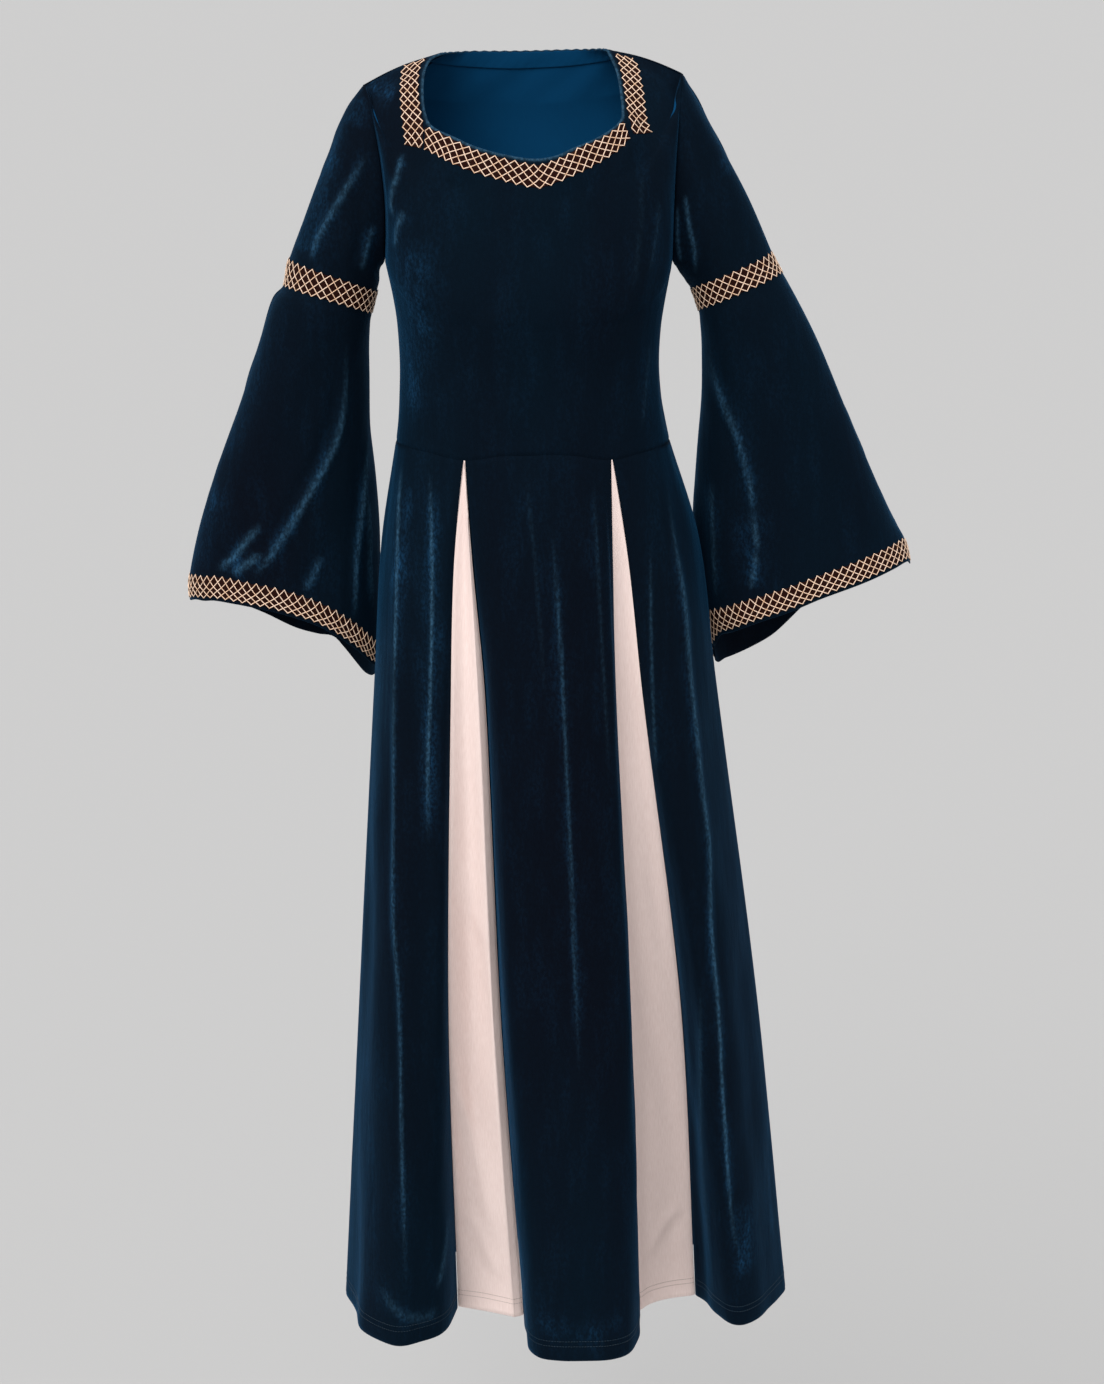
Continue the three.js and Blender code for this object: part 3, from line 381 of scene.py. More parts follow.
# %% Measures of the skirt
HEM_Z = -1500
HIP_SPREAD = 0.64
FOLD_LEVELS = np.array([0, 0.11, 0.256, 0.628, 1])
FOLDS = table("seam hip waist_x thigh_x thigh_y knee_x knee_y hem_x hem_y", [
    (0, HIP_SPREAD, -145, -174.5, 10, -200, 20, -225, 40),
    (0, HIP_SPREAD, -142.5, -169, -22, -191, -20, -209, -10),
    (0, HIP_SPREAD, -138, -160, -50, -176, -58, -198, -60),
    (0, HIP_SPREAD, -128, -146, -74, -149, -90, -158, -97),
    (0, HIP_SPREAD, -106, -118, -88, -121, -90, -126, -88),
    (0, HIP_SPREAD, -84, -94, -95, -98, -84, -98, -62),
    (1, 0.7, -66.2, -82.4, -88, -89.3, -58, -84, 2),
    (0, HIP_SPREAD, -65.7, -67, -82, -62, -42, -57, -6),
    (1, 0.42, -65.2, -52, -91, -38, -65, -15.5, -26),
    (1, 0.38, -64.7, -43.7, -84, -28.2, -56, -3.5, -20),
    (0, 0.45, -58, -37, -104, -22, -100, 2, -92),
    (0, HIP_SPREAD, -46, -22, -117, -8, -122, 14, -126),
    (0, HIP_SPREAD, -20, 8, -124, 24, -130, 40, -135),
    (0, HIP_SPREAD, 26, 38, -127, 58, -133, 72, -136),
    (0, HIP_SPREAD, 56, 72, -123, 90, -130, 104, -130),
    (0, HIP_SPREAD, 80, 96, -112, 117, -115, 126, -112),
    (0, 0.5, 90, 102, -100, 124, -92, 136, -72),
    (1, 0.42, 96.5, 103.8, -86, 124, -56, 139, -8),
    (0, 0.42, 96.9, 110, -78, 138, -36, 152, 8),
    (0, 0.48, 97.3, 121, -74, 160, -24, 178, 24),
    (1, 0.52, 97.8, 133, -78, 184, -18, 208, 33),
    (0, HIP_SPREAD, 114, 143, -86, 193, -44, 220, 16),
    (0, HIP_SPREAD, 128, 158, -84, 206, -66, 230, -16),
    (0, HIP_SPREAD, 146, 178, -72, 223, -68, 248, -42),
    (0, HIP_SPREAD, 157, 196, -50, 240, -52, 268, -42),
    (0, HIP_SPREAD, 161.5, 210, -22, 258, -20, 292, -12),
    (0, HIP_SPREAD, 163.8, 220.5, 14, 277, 32, 322, 54),
    (0, HIP_SPREAD, 161, 211, 50, 262, 84, 300, 108),
    (0, HIP_SPREAD, 150, 190, 78, 224, 102, 246, 112),
    (0, HIP_SPREAD, 130, 162, 104, 190, 150, 206, 180),
    (0, HIP_SPREAD, 103, 124, 104, 140, 124, 150, 130),
    (0, HIP_SPREAD, 70, 84, 118, 94, 164, 100, 196),
    (0, HIP_SPREAD, 38, 40, 112, 42, 136, 44, 144),
    (0, HIP_SPREAD, 4, -6, 118, -10, 166, -12, 194),
    (0, HIP_SPREAD, -30, -48, 108, -58, 128, -64, 134),
    (0, HIP_SPREAD, -64, -88, 106, -106, 150, -118, 178),
    (0, HIP_SPREAD, -98, -124, 82, -146, 102, -160, 110),
    (0, HIP_SPREAD, -124, -152, 62, -180, 84, -204, 104),
    (0, HIP_SPREAD, -140, -168, 36, -194, 54, -219, 72),
])
FOLD_COUNT = len(FOLDS["seam"])
FRONT_FOLD_COUNT = 26
WIDTH_AT_HEM = (FOLDS["hem_x"].max() - FOLDS["hem_x"].min()) * MM
print(f"{FOLD_COUNT} folds, {WIDTH_AT_HEM:.3f} m wide at the hem")


# %% The skirt as a surface
def fold_line(index, share):
    """The line that one fold follows, from the waist at share 0 to the hem at share 1."""
    face = FRONT if index < FRONT_FOLD_COUNT else BACK
    fold = {name: FOLDS[name][index] for name in FOLDS}
    cosine = (WAIST_MIDDLE - fold["waist_x"]) / WAIST_HALF
    waist = waist_point(face, np.arccos(np.clip(cosine, -1, 1)) / np.pi)
    hip_x = mix(waist[0], fold["thigh_x"], fold["hip"])
    hip_y = mix(waist[1], fold["thigh_y"], fold["hip"])
    xs = np.array([waist[0], hip_x, fold["thigh_x"], fold["knee_x"], fold["hem_x"]])
    ys = np.array([waist[1], hip_y, fold["thigh_y"], fold["knee_y"], fold["hem_y"]])
    return points_of(
        track(FOLD_LEVELS, xs, share), track(FOLD_LEVELS, ys, share), mix(waist[2], HEM_Z, share)
    )


def skirt_grid(shares, places):
    """A smooth run from fold to fold, with a sharp corner at each seam of a godet."""
    lines = np.stack([fold_line(i, shares) for i in range(FOLD_COUNT)])
    seam = FOLDS["seam"].astype(bool)
    index = np.minimum(np.floor(places), np.max(places) - 1).astype(int)
    t = (places - index)[:, None, None]
    here, after_here = index % FOLD_COUNT, (index + 1) % FOLD_COUNT
    before = np.where(seam[here], here, (index - 1) % FOLD_COUNT)
    after = np.where(seam[after_here], after_here, (index + 2) % FOLD_COUNT)
    start_weight = np.where(seam[here], 1, 0.5)[:, None, None]
    end_weight = np.where(seam[after_here], 1, 0.5)[:, None, None]
    start_slope = (lines[after_here] - lines[before]) * start_weight
    end_slope = (lines[after] - lines[here]) * end_weight
    grid = hermite(lines[here], start_slope, lines[after_here], end_slope, t)
    return grid.transpose(1, 0, 2)


# %% [markdown]
# ## Creases and painted highlights
# Cloth on a filled-out gown has few deep creases: they start at the armholes, the arm
# bands and the waist, and run long and uneven. Each one here is a soft ridge with a
# trough beside it, along a path as seen from the front. Each also carries a painted
# highlight: a lighter blue painted into the velvet's colour where its pressed pile lies flat
# and catches the light, with a thin painted highlight line along the ridge top. Paths
# without height are painted highlights only.

# %% The creases
CREASES = {
    # face, width, height, painted highlight, path as x, z
    "sleeve_flare_left": [
        (FRONT, 6, 3.4, 0.5, [(-198, -300), (-202, -376), (-211, -421), (-224, -450), (-237, -473),
         (-258, -509), (-279, -541), (-293, -562), (-314, -584)]),
        (FRONT, 5, 2.2, 0.6, [(-298, -518), (-317, -540), (-332, -559), (-353, -577)]),
        (FRONT, 7, 2.0, 0.7, [(-299, -553), (-318, -567), (-335, -579)]),
        (FRONT, 4, 2.0, 0.5, [(-176, -405), (-182, -482), (-191, -550), (-194, -583), (-196, -640)]),
        (FRONT, 4, 1.6, 0.4, [(-180, -480), (-178, -538), (-178, -578), (-176, -632)]),
        (FRONT, 4, 1.2, 0.35, [(-231, -554), (-240, -578), (-252, -598)]),
        (FRONT, 12, 0, 0.6, [(-352, -470), (-370, -530), (-380, -580)]),
        (FRONT, 10, 0, 0.35, [(-280, -290), (-312, -380), (-344, -455)]),
        (BACK, 9, 3.2, 0.4, [(-205, -300), (-222, -380), (-250, -470), (-285, -570)]),
        (BACK, 6, 2.2, 0.4, [(-260, -300), (-285, -390), (-318, -480), (-345, -570)]),
        (BACK, 5, 1.6, 0.3, [(-195, -450), (-205, -540), (-222, -640)]),
    ],
    "sleeve_upper_left": [
        (FRONT, 5, 2.4, 0.45, [(-166, -100), (-193, -142), (-207, -165), (-217, -182), (-228, -202),
         (-237, -226)]),
        (FRONT, 9, 0, 0.8, [(-206, -100), (-222, -135), (-229, -152), (-242, -194)]),
        (FRONT, 9, 0, 0.8, [(-181, -44), (-180, -58), (-184, -80)]),
        (FRONT, 9, 0, 0.7, [(-196, -71), (-222, -136), (-243, -197), (-250, -213)]),
        (FRONT, 5, 1.6, 0.3, [(-164, -180), (-172, -205), (-180, -235)]),
        (BACK, 7, 2.6, 0.4, [(-168, -110), (-190, -150), (-212, -200)]),
        (BACK, 5, 1.8, 0.3, [(-165, -170), (-178, -200), (-188, -240)]),
    ],
    "sleeve_upper_right": [
        (FRONT, 4, 1.8, 0.4, [(175, -149), (178, -161), (182, -186), (188, -211), (190, -240)]),
        (FRONT, 4, 1.4, 0.4, [(168, -160), (169, -198), (174, -226)]),
        (FRONT, 5, 0, 0.6, [(214, -108), (226, -130)]),
        (BACK, 7, 2.6, 0.4, [(180, -100), (202, -150), (226, -200)]),
        (BACK, 5, 1.8, 0.3, [(172, -160), (186, -195), (200, -235)]),
    ],
    "sleeve_flare_right": [
        (FRONT, 5, 2.2, 0.4, [(204, -320), (221, -376), (240, -421), (251, -460), (258, -489),
         (264, -525)]),
        (FRONT, 13, 1.2, 0.45, [(255, -500), (263, -541), (262, -576), (258, -600)]),
        (FRONT, 6, 1.6, 0.25, [(212, -470), (216, -540), (222, -620)]),
        (BACK, 9, 3.2, 0.4, [(222, -300), (244, -380), (276, -470), (310, -570)]),
        (BACK, 6, 2.2, 0.35, [(280, -290), (315, -370), (355, -450), (390, -530)]),
        (BACK, 5, 1.8, 0.4, [(215, -440), (228, -520), (250, -620)]),
    ],
    "bodice_front": [
        (FRONT, 10, 0, 0.9, [(-171, -33), (-156, -33), (-136, -36)]),
        (FRONT, 4, 1.8, 0.45, [(-129, -100), (-136, -125), (-142, -150), (-141, -172)]),
        (FRONT, 5, 1.2, 0.4, [(-128, -161), (-136, -182), (-139, -205)]),
        (FRONT, 14, 0, 0.55, [(-128, -190), (-124, -250), (-122, -330), (-121, -400)]),
        (FRONT, 11, 0, 0.3, [(-108, -180), (-102, -260), (-106, -350)]),
        (FRONT, 6, 1.0, 0.08, [(146, -150), (144, -190), (136, -230)]),
        (FRONT, 7, 1.0, 0.06, [(128, -120), (126, -180), (118, -250)]),
        (FRONT, 8, 0.8, 0.08, [(140, -300), (134, -350), (130, -405)]),
    ],
    "bodice_back": [
        (BACK, 9, 2.0, 0.25, [(-140, -210), (-112, -260), (-80, -300), (-60, -330)]),
        (BACK, 9, 2.0, 0.25, [(150, -205), (124, -256), (94, -300), (70, -326)]),
        (BACK, 7, 1.8, 0.3, [(-120, -410), (-60, -396), (-10, -400)]),
        (BACK, 7, 1.8, 0.3, [(140, -406), (84, -390), (30, -396)]),
        (BACK, 7, 1.4, 0.2, [(-110, -360), (-50, -352), (20, -360), (70, -352)]),
        (BACK, 6, 1.4, 0.25, [(-152, -90), (-138, -150), (-134, -200)]),
        (BACK, 6, 1.4, 0.25, [(158, -80), (146, -140), (144, -196)]),
    ],
    "skirt_front_side_left": [
        (FRONT, 3.5, 1.8, 0.35, [(-142, -540), (-147, -707), (-150, -824), (-151, -959), (-146, -1076),
         (-145, -1237), (-144, -1319), (-142, -1440)]),
        (FRONT, 9, 0.9, 0.75, [(-137, -440), (-140, -512), (-143, -591), (-147, -707)]),
        (FRONT, 7, 0.9, 0.7, [(-105, -443), (-102, -521), (-103, -612), (-106, -704), (-109, -774),
         (-110, -881)]),
        (FRONT, 4, 1.4, 0.4, [(-91, -1340), (-97, -1395), (-106, -1440)]),
        (FRONT, 9, 1.4, 0.3, [(-176, -1425), (-152, -1456), (-122, -1470), (-104, -1462)]),
        (FRONT, 9, 0, 0.45, [(-165, -600), (-176, -760), (-186, -950)]),
        (FRONT, 10, 0, 0.4, [(-190, -1120), (-190, -1250), (-186, -1400)]),
    ],
    "skirt_front_center": [
        (FRONT, 5, 0.9, 0.26, [(31, -500), (40, -629), (47, -767), (54, -932), (63, -1157)]),
        (FRONT, 8, 0.7, 0.05, [(2, -440), (14, -560), (24, -700)]),
        (FRONT, 8, 0.7, 0.09, [(76, -450), (84, -600), (96, -800)]),
        (FRONT, 10, 0, 0.3, [(12, -1440), (60, -1466), (120, -1450)]),
    ],
    "skirt_front_side_right": [
        (FRONT, 4, 2.2, 0.5, [(157, -450), (168, -527), (179, -596), (187, -678), (199, -793), (211, -883),
         (213, -960), (224, -1078), (231, -1179), (239, -1280), (247, -1363), (262, -1440)]),
        (FRONT, 4, 1.0, 0.2, [(203, -1040), (207, -1199), (213, -1320), (224, -1440)]),
        (FRONT, 5, 0.8, 0.2, [(140, -520), (142, -640), (146, -733), (150, -800)]),
        (FRONT, 12, 0, 0.75, [(250, -1330), (262, -1390), (272, -1440)]),
        (FRONT, 9, 0, 0.4, [(290, -1200), (300, -1330), (306, -1420)]),
    ],
    "skirt_back": [
        (BACK, 6, 1.6, 0.3, [(120, -430), (132, -520), (150, -640), (160, -760)]),
        (BACK, 6, 1.6, 0.3, [(20, -430), (22, -560), (20, -720)]),
        (BACK, 6, 1.6, 0.3, [(-90, -430), (-100, -540), (-116, -680)]),
        (BACK, 9, 1.6, 0.35, [(-30, -1380), (20, -1450), (80, -1470)]),
    ],
    "godet_left": [
        (FRONT, 9, 2.4, 0, [(-84, -1132), (-76, -1208), (-62, -1272), (-50, -1336), (-40, -1402)]),
        (FRONT, 7, 1.8, 0, [(-82, -1195), (-67, -1246), (-56, -1317)]),
        (FRONT, 8, 1.6, 0, [(-70, -900), (-60, -960), (-46, -1010)]),
        (FRONT, 8, 1.8, 0, [(-66, -1360), (-50, -1410), (-30, -1452)]),
    ],
    "godet_right": [
        (FRONT, 8, 1.8, 0, [(138, -1440), (162, -1401), (186, -1368)]),
        (FRONT, 9, 1.4, 0, [(134, -1120), (146, -1180), (160, -1260)]),
        (FRONT, 9, 1.2, 0, [(128, -900), (140, -960), (150, -1040)]),
    ],
}
print("creases:", sum(len(creases) for creases in CREASES.values()))

# %% Raise the creases
TROUGH_SHARE = 0.55
TROUGH_PLACE, TROUGH_WIDTH = 1.9, 1.3
TAPER = 0.22
FACING_GAIN = 2
HIGHLIGHT_WIDTH = 1.25
CREST_HALF, CREST_HALF_LEVEL = 1.5, 4.5
CREST_GLOSS, CREST_LEVEL_LOSS = 1.7, 0.5
PATH_STEPS = 28


def crease_field(name, grid, facing):
    """The height, the painted highlight and the painted ridge-top line that its creases give each point of
    one piece.
    """
    flat = grid[..., [0, 2]].reshape(-1, 2)
    height, shine, crest = (np.zeros(len(flat)) for _ in range(3))
    for face, width, rise, highlight_strength, path in CREASES.get(name, ()):
        corners = np.array(path, float)
        counts = np.arange(len(corners), dtype=float)
        at = np.linspace(0, len(corners) - 1, PATH_STEPS)
        line = np.stack([track(counts, corners[:, k], at) for k in (0, 1)], -1)
        nearest = np.full(len(flat), np.inf)
        across, along, level = (np.zeros(len(flat)) for _ in range(3))
        for i in range(PATH_STEPS - 1):
            run = line[i + 1] - line[i]
            length = np.hypot(*run)
            offset = flat - line[i]
            share = np.clip(offset @ run / length**2, 0, 1)
            distance = np.linalg.norm(offset - share[:, None] * run, axis=1)
            side = np.sign(offset[:, 0] * run[1] - offset[:, 1] * run[0])
            closer = distance < nearest
            nearest[closer] = distance[closer]
            across[closer] = (side * distance)[closer]
            along[closer] = ((i + share) / (PATH_STEPS - 1))[closer]
            level[closer] = abs(run[0]) / length
        taper = ease(along / TAPER) * ease((1 - along) / TAPER)
        taper = taper * ease(facing.reshape(-1) * face * FACING_GAIN)
        ridge = np.exp(-((across / width) ** 2))
        trough = np.exp(-(((across - TROUGH_PLACE * width) / (TROUGH_WIDTH * width)) ** 2))
        height += rise * taper * (ridge - TROUGH_SHARE * trough)
        # painted highlight: a lighter colour along the crease; the lines below paint a thin highlight line
        # on the ridge top
        shine += highlight_strength * taper * np.exp(-((across / (HIGHLIGHT_WIDTH * width)) ** 2))
        half = mix(CREST_HALF, CREST_HALF_LEVEL, level)
        strength = taper * min(1, highlight_strength * CREST_GLOSS) * (1 - CREST_LEVEL_LOSS * level)
        crest = np.maximum(crest, (rise > 0) * strength * np.exp(-((across / half) ** 2)))
    return [value.reshape(grid.shape[:2]) for value in (height, np.clip(shine, 0, 1), crest)]


# %% [markdown]
# ## Fine panels
# A panel is a grid of points, the way a tailor's form is gridded with tape. From the grid
# come the outward directions, the distance of each point from each seam and the slow
# unevenness of hanging cloth. Near a seam the cloth dips in, as stitches pull it down.

# %% Grids and their directions
FINE_OFFSETS = (0.9, 1.9, 3.1, 4.6, 7)
LEAST_STEP = 0.25
CALM_PASSES = 5


def stations(count, length, fine_start=True, fine_end=True):
    """Even places from 0 to 1, with closer ones beside the seams."""
    places = list(np.linspace(0, 1, count + 1))
    places += [offset / length for offset in FINE_OFFSETS if fine_start]
    places += [1 - offset / length for offset in FINE_OFFSETS if fine_end]
    places = np.unique(np.round(places, 6))
    keep = np.concatenate([[True], np.diff(places) > LEAST_STEP / length])
    keep[-1] = True
    return places[keep]


def slope(grid, axis, closed):
    if closed:
        return np.roll(grid, -1, axis) - np.roll(grid, 1, axis)
    return np.gradient(grid, axis=axis)


def unit(vectors):
    return vectors / np.maximum(np.linalg.norm(vectors, axis=-1, keepdims=True), 1e-9)


def outward_of(grid, centre, closed, rounded=False):
    """Unit directions away from centre, a point or a point for each row."""
    normal = unit(np.cross(slope(grid, 1, closed), slope(grid, 0, False)))
    if not rounded:
        return normal * np.sign(np.sum(normal * (grid - centre)))
    normal = normal * np.sign(np.sum(normal * (grid - centre), -1, keepdims=True))
    for _ in range(CALM_PASSES):
        padded = np.pad(normal, ((1, 1), (1, 1), (0, 0)), mode="edge")
        around = padded[:-2, 1:-1] + padded[2:, 1:-1] + padded[1:-1, :-2] + padded[1:-1, 2:]
        normal = unit(normal + around)
    return normal

# %% Distances and drape
DRAPE_WAVES = 9
DRAPE_WIDE, DRAPE_TALL = (45, 150), (160, 620)
NO_SEAM = 1000


def walked(grid, axis):
    """How far each point lies along its row or column, from the first one."""
    steps = np.linalg.norm(np.diff(grid, axis=axis), axis=-1)
    start = np.zeros_like(np.take(steps, [0], axis))
    return np.concatenate([start, np.cumsum(steps, axis=axis)], axis)


def seam_distance(grid, seams):
    """The distance from each point to the nearest of the named edges."""
    across, up = walked(grid, 1), walked(grid, 0)
    distances = {
        "left": across,
        "right": across[:, -1:] - across,
        "first": up,
        "last": up[-1:] - up,
    }
    found = [distances[name] for name in seams]
    return np.min(found, axis=0) if found else np.full(grid.shape[:2], NO_SEAM)


def drape(grid, seed):
    """A slow unevenness, longer down the cloth than across it."""
    random = np.random.default_rng(seed)
    across, up = walked(grid, 1), walked(grid, 0)
    total = np.zeros(grid.shape[:2])
    for _ in range(DRAPE_WAVES):
        wide, tall = random.uniform(*DRAPE_WIDE), random.uniform(*DRAPE_TALL)
        phase = random.uniform(0, 2 * np.pi)
        total += np.sin(2 * np.pi * (across / wide + random.choice([-1, 1]) * up / tall) + phase)
    return total / np.sqrt(DRAPE_WAVES)


# %% [markdown]
# ## From grid to cloth
# A shell is the outer grid, the same grid moved in by the cloth's thickness, and a row of
# points round the rim pushed out by half of it. Smooth shading turns that rim into the
# soft rolled edge that a hem has. The inner side takes the last material, apart from
# where the cloth is turned in.

# %% Build a shell
def rim_loops(rows, columns, closed):
    index = np.arange(rows * columns).reshape(rows, columns)
    if closed:
        return [index[0], index[-1][::-1]]
    sides = [index[0, :-1], index[:-1, -1], index[-1, :0:-1], index[:0:-1, 0]]
    return [np.concatenate(sides)]


def rim_push(grid, closed):
    """Which way the rim points at each edge point of a grid."""
    push = np.zeros_like(grid)
    push[0] += unit(grid[0] - grid[1])
    push[-1] += unit(grid[-1] - grid[-2])
    if closed:
        push[0] = 0
    else:
        push[:, 0] += unit(grid[:, 0] - grid[:, 1])
        push[:, -1] += unit(grid[:, -1] - grid[:, -2])
    return push / np.maximum(np.linalg.norm(push, axis=-1, keepdims=True), 1)


def shell_faces(rows, columns, closed):
    """The outer grid's faces, then the inner grid's and the rims', and how many are outer."""
    last = columns if closed else columns - 1
    r, c = (part.ravel() for part in np.meshgrid(np.arange(rows - 1), np.arange(last), indexing="ij"))

    def at(down, right):
        return (r + down) * columns + (c + right) % columns

    outer = np.stack([at(0, 0), at(0, 1), at(1, 1), at(1, 0)], -1)
    inner = outer[:, ::-1] + rows * columns
    faces, rim_start = [outer, inner], 2 * rows * columns
    for loop in rim_loops(rows, columns, closed):
        follow, rim = np.roll(loop, -1), rim_start + np.arange(len(loop))
        rim_follow, under = np.roll(rim, -1), loop + rows * columns
        faces.append(np.stack([follow, loop, rim, rim_follow], -1))
        faces.append(np.stack([rim_follow, rim, under, np.roll(under, -1)], -1))
        rim_start += len(loop)
    return np.concatenate(faces), len(outer)


def new_object(name, points, faces, materials, uv, face_material=None, **values):
    """A smooth mesh. The values are painted on its points, for the materials to read."""
    mesh = bpy.data.meshes.new(name)
    mesh.from_pydata((points * MM).tolist(), [], faces)
    for material in materials:
        mesh.materials.append(material)
    mesh.polygons.foreach_set("use_smooth", np.ones(len(faces), bool))
    if face_material is not None:
        mesh.polygons.foreach_set("material_index", face_material.astype(np.int32))
    corner = np.zeros(len(mesh.loops), np.int32)
    mesh.loops.foreach_get("vertex_index", corner)
    layer = mesh.uv_layers.new(name="cloth")
    layer.data.foreach_set("uv", (uv[corner] * MM).astype(np.float32).ravel())
    for label, value in values.items():
        attribute = mesh.attributes.new(label, "FLOAT", "POINT")
        attribute.data.foreach_set("value", value.astype(np.float32))
    mesh.update()
    obj = bpy.data.objects.new(name, mesh)
    bpy.context.scene.collection.objects.link(obj)
    return obj


# %% [markdown]
# ## A panel and how it hangs
# A maker thinks of a garment as panels, and so does this script: a panel knows its grid,
# can be sampled where a trim is sewn on, becomes a shell, and says what it is cut to. The
# creases and seams could be painted as bumps, but they have to show in the outline too,
# so they move the grid itself before the shell is made.

# %% A panel of cloth
class Panel:
    """One cut piece: its grid, its outward directions and the values that gridded it."""

    def __init__(self, name, grid, outward, rows, columns, closed=False):
        self.name, self.grid, self.outward = name, grid, outward
        self.rows, self.columns, self.closed = rows, columns, closed
        # painted highlight amounts and the nearness of a seam, for the materials to read
        self.shine = self.crest = self.seam = np.zeros(grid.shape[:2])

    def sample(self, row, column):
        """The point and the outward direction at any row and column value."""
        r = np.interp(row, self.rows, np.arange(len(self.rows)))
        period = len(self.columns)
        if self.closed:
            values = np.append(self.columns, 2 * np.pi)
            c = np.interp(np.mod(column, 2 * np.pi), values, np.arange(period + 1))
        else:
            c = np.interp(column, self.columns, np.arange(period))
        r0 = np.minimum(np.floor(r).astype(int), len(self.rows) - 2)
        c0 = np.floor(c).astype(int)
        c0 = c0 if self.closed else np.minimum(c0, period - 2)
        c1 = (c0 + 1) % period if self.closed else c0 + 1
        tr, tc = (r - r0)[..., None], (c - c0)[..., None]
        c0 = c0 % period

        def blend(values):
            low = mix(values[r0, c0], values[r0, c1], tc)
            return mix(low, mix(values[r0 + 1, c0], values[r0 + 1, c1], tc), tr)

        return blend(self.grid), unit(blend(self.outward))

    def build(self, name, thickness, materials, turned=None):
        """Makes the shell. Where cloth is turned in, its outer side shows inside as well."""
        rows, columns = self.grid.shape[:2]
        thick = np.broadcast_to(np.asarray(thickness, float), (rows, columns))
        inner = self.grid - self.outward * thick[..., None]
        faces, outer_count = shell_faces(rows, columns, self.closed)
        push = rim_push(self.grid, self.closed) * (thick[..., None] / 2)
        middle = (self.grid + inner) / 2 + push
        rims = [middle.reshape(-1, 3)[loop] for loop in rim_loops(rows, columns, self.closed)]
        points = np.concatenate([self.grid.reshape(-1, 3), inner.reshape(-1, 3), *rims])
        uv_grid = np.stack([walked(self.grid, 1), walked(self.grid, 0)], -1).reshape(-1, 2)
        values = {"shine": self.shine, "crest": self.crest, "seam": self.seam}
        loops = np.concatenate(rim_loops(rows, columns, self.closed))
        uv = np.concatenate([uv_grid, uv_grid, uv_grid[loops]])
        for label, value in values.items():
            value = value.ravel()
            values[label] = np.concatenate([value, value, value[loops]])
        first = self.grid.reshape(-1, 3)[faces[0]]
        normal = np.cross(first[1] - first[0], first[2] - first[0])
        if normal @ self.outward.reshape(-1, 3)[faces[0][0]] < 0:
            faces = faces[:, ::-1]
        kind = np.zeros(len(faces), int)
        kind[outer_count:2 * outer_count] = len(materials) - 1
        if turned is not None:
            corner = faces[outer_count:2 * outer_count, 0] - rows * columns
            kind[outer_count:2 * outer_count][turned.ravel()[corner]] = 0
        obj = new_object(name, points, faces.tolist(), materials, uv, kind, **values)
        print(f"{name}: {rows} by {columns} points, {2 * len(faces)} triangles")
        return obj

    def cut(self):
        """The width, the length and the area that the piece is cut to, in metres."""
        grid = self.grid
        if self.closed:
            grid = np.concatenate([grid, grid[:, :1]], 1)
        diagonals = np.cross(grid[1:, 1:] - grid[:-1, :-1], grid[1:, :-1] - grid[:-1, 1:])
        area = float(np.linalg.norm(diagonals, axis=-1).sum() / 2 * MM * MM)
        width, length = walked(grid, 1)[:, -1].max() * MM, walked(grid, 0)[-1].max() * MM
        return width, length, min(area, width * length)

# %% Hang a panel
SEAM_DITCH, SEAM_SPREAD = 0.9, 2.4
CREASE_FADE = 9
DRAPE_RISE, DRAPE_FADE = 0.9, 26


def hung_panel(name, grid, centre, rows, columns, seams=(), seed=1, fades=(), closed=False,
               rounded=False, drape_rise=DRAPE_RISE):
    """A panel with its creases, its slow unevenness and a ditch beside each seam."""
    outward = outward_of(grid, centre, closed, rounded)
    away = seam_distance(grid, seams)
    calm = ease(seam_distance(grid, seams + fades) / DRAPE_FADE)
    rise, shine, crest = crease_field(name, grid, outward[..., 1])
    seam = np.exp(-((away / SEAM_SPREAD) ** 2))
    height = drape_rise * calm * drape(grid, seed) + rise * ease(away / CREASE_FADE) - SEAM_DITCH * seam
    hung = grid + outward * height[..., None]
    panel = Panel(name, hung, outward_of(hung, centre, closed, rounded), rows, columns, closed)
    panel.shine, panel.crest, panel.seam = shine, crest, seam
    return panel


# %% [markdown]
# ## Shader groups
# Three effects serve more than one cloth: the pile of velvet, a plain weave, and the
# twist of a thread. Each is a node group that gives only masks and heights, so that
# every material can colour them in its own way. Image textures could show the same, but
# they blur close up, and a pattern that is worked out stays sharp at any distance.

# %% Node helpers
def node_group(name, inputs, outputs):
    group = bpy.data.node_groups.new(name, "ShaderNodeTree")
    for label, kind, value in inputs:
        socket = group.interface.new_socket(label, in_out="INPUT", socket_type=kind)
        if value is not None:
            socket.default_value = value
    for label in outputs:
        group.interface.new_socket(label, in_out="OUTPUT", socket_type="NodeSocketFloat")
    return group, group.nodes.new("NodeGroupInput"), group.nodes.new("NodeGroupOutput")


def add_node(tree, kind, links=None, **settings):
    """Adds a node, sets its properties and inputs, and links what feeds it."""
    node = tree.nodes.new(kind)
    for name, value in settings.items():
        if hasattr(node, name):
            setattr(node, name, value)
        else:
            node.inputs[name.replace("_", " ")].default_value = value
    for name, source in (links or {}).items():
        tree.links.new(source, node.inputs[name])
    return node


def calculate(tree, operation, a, b=None, c=None):
    node = tree.nodes.new("ShaderNodeMath")
    node.operation = operation
    for slot, value in enumerate((a, b, c)):
        if isinstance(value, (int, float)):
            node.inputs[slot].default_value = value
        elif value is not None:
            tree.links.new(value, node.inputs[slot])
    return node.outputs[0]


def stretch(tree, vector, scale):
    node = add_node(tree, "ShaderNodeVectorMath", operation="MULTIPLY")
    tree.links.new(vector, node.inputs[0])
    node.inputs[1].default_value = scale
    return node.outputs[0]


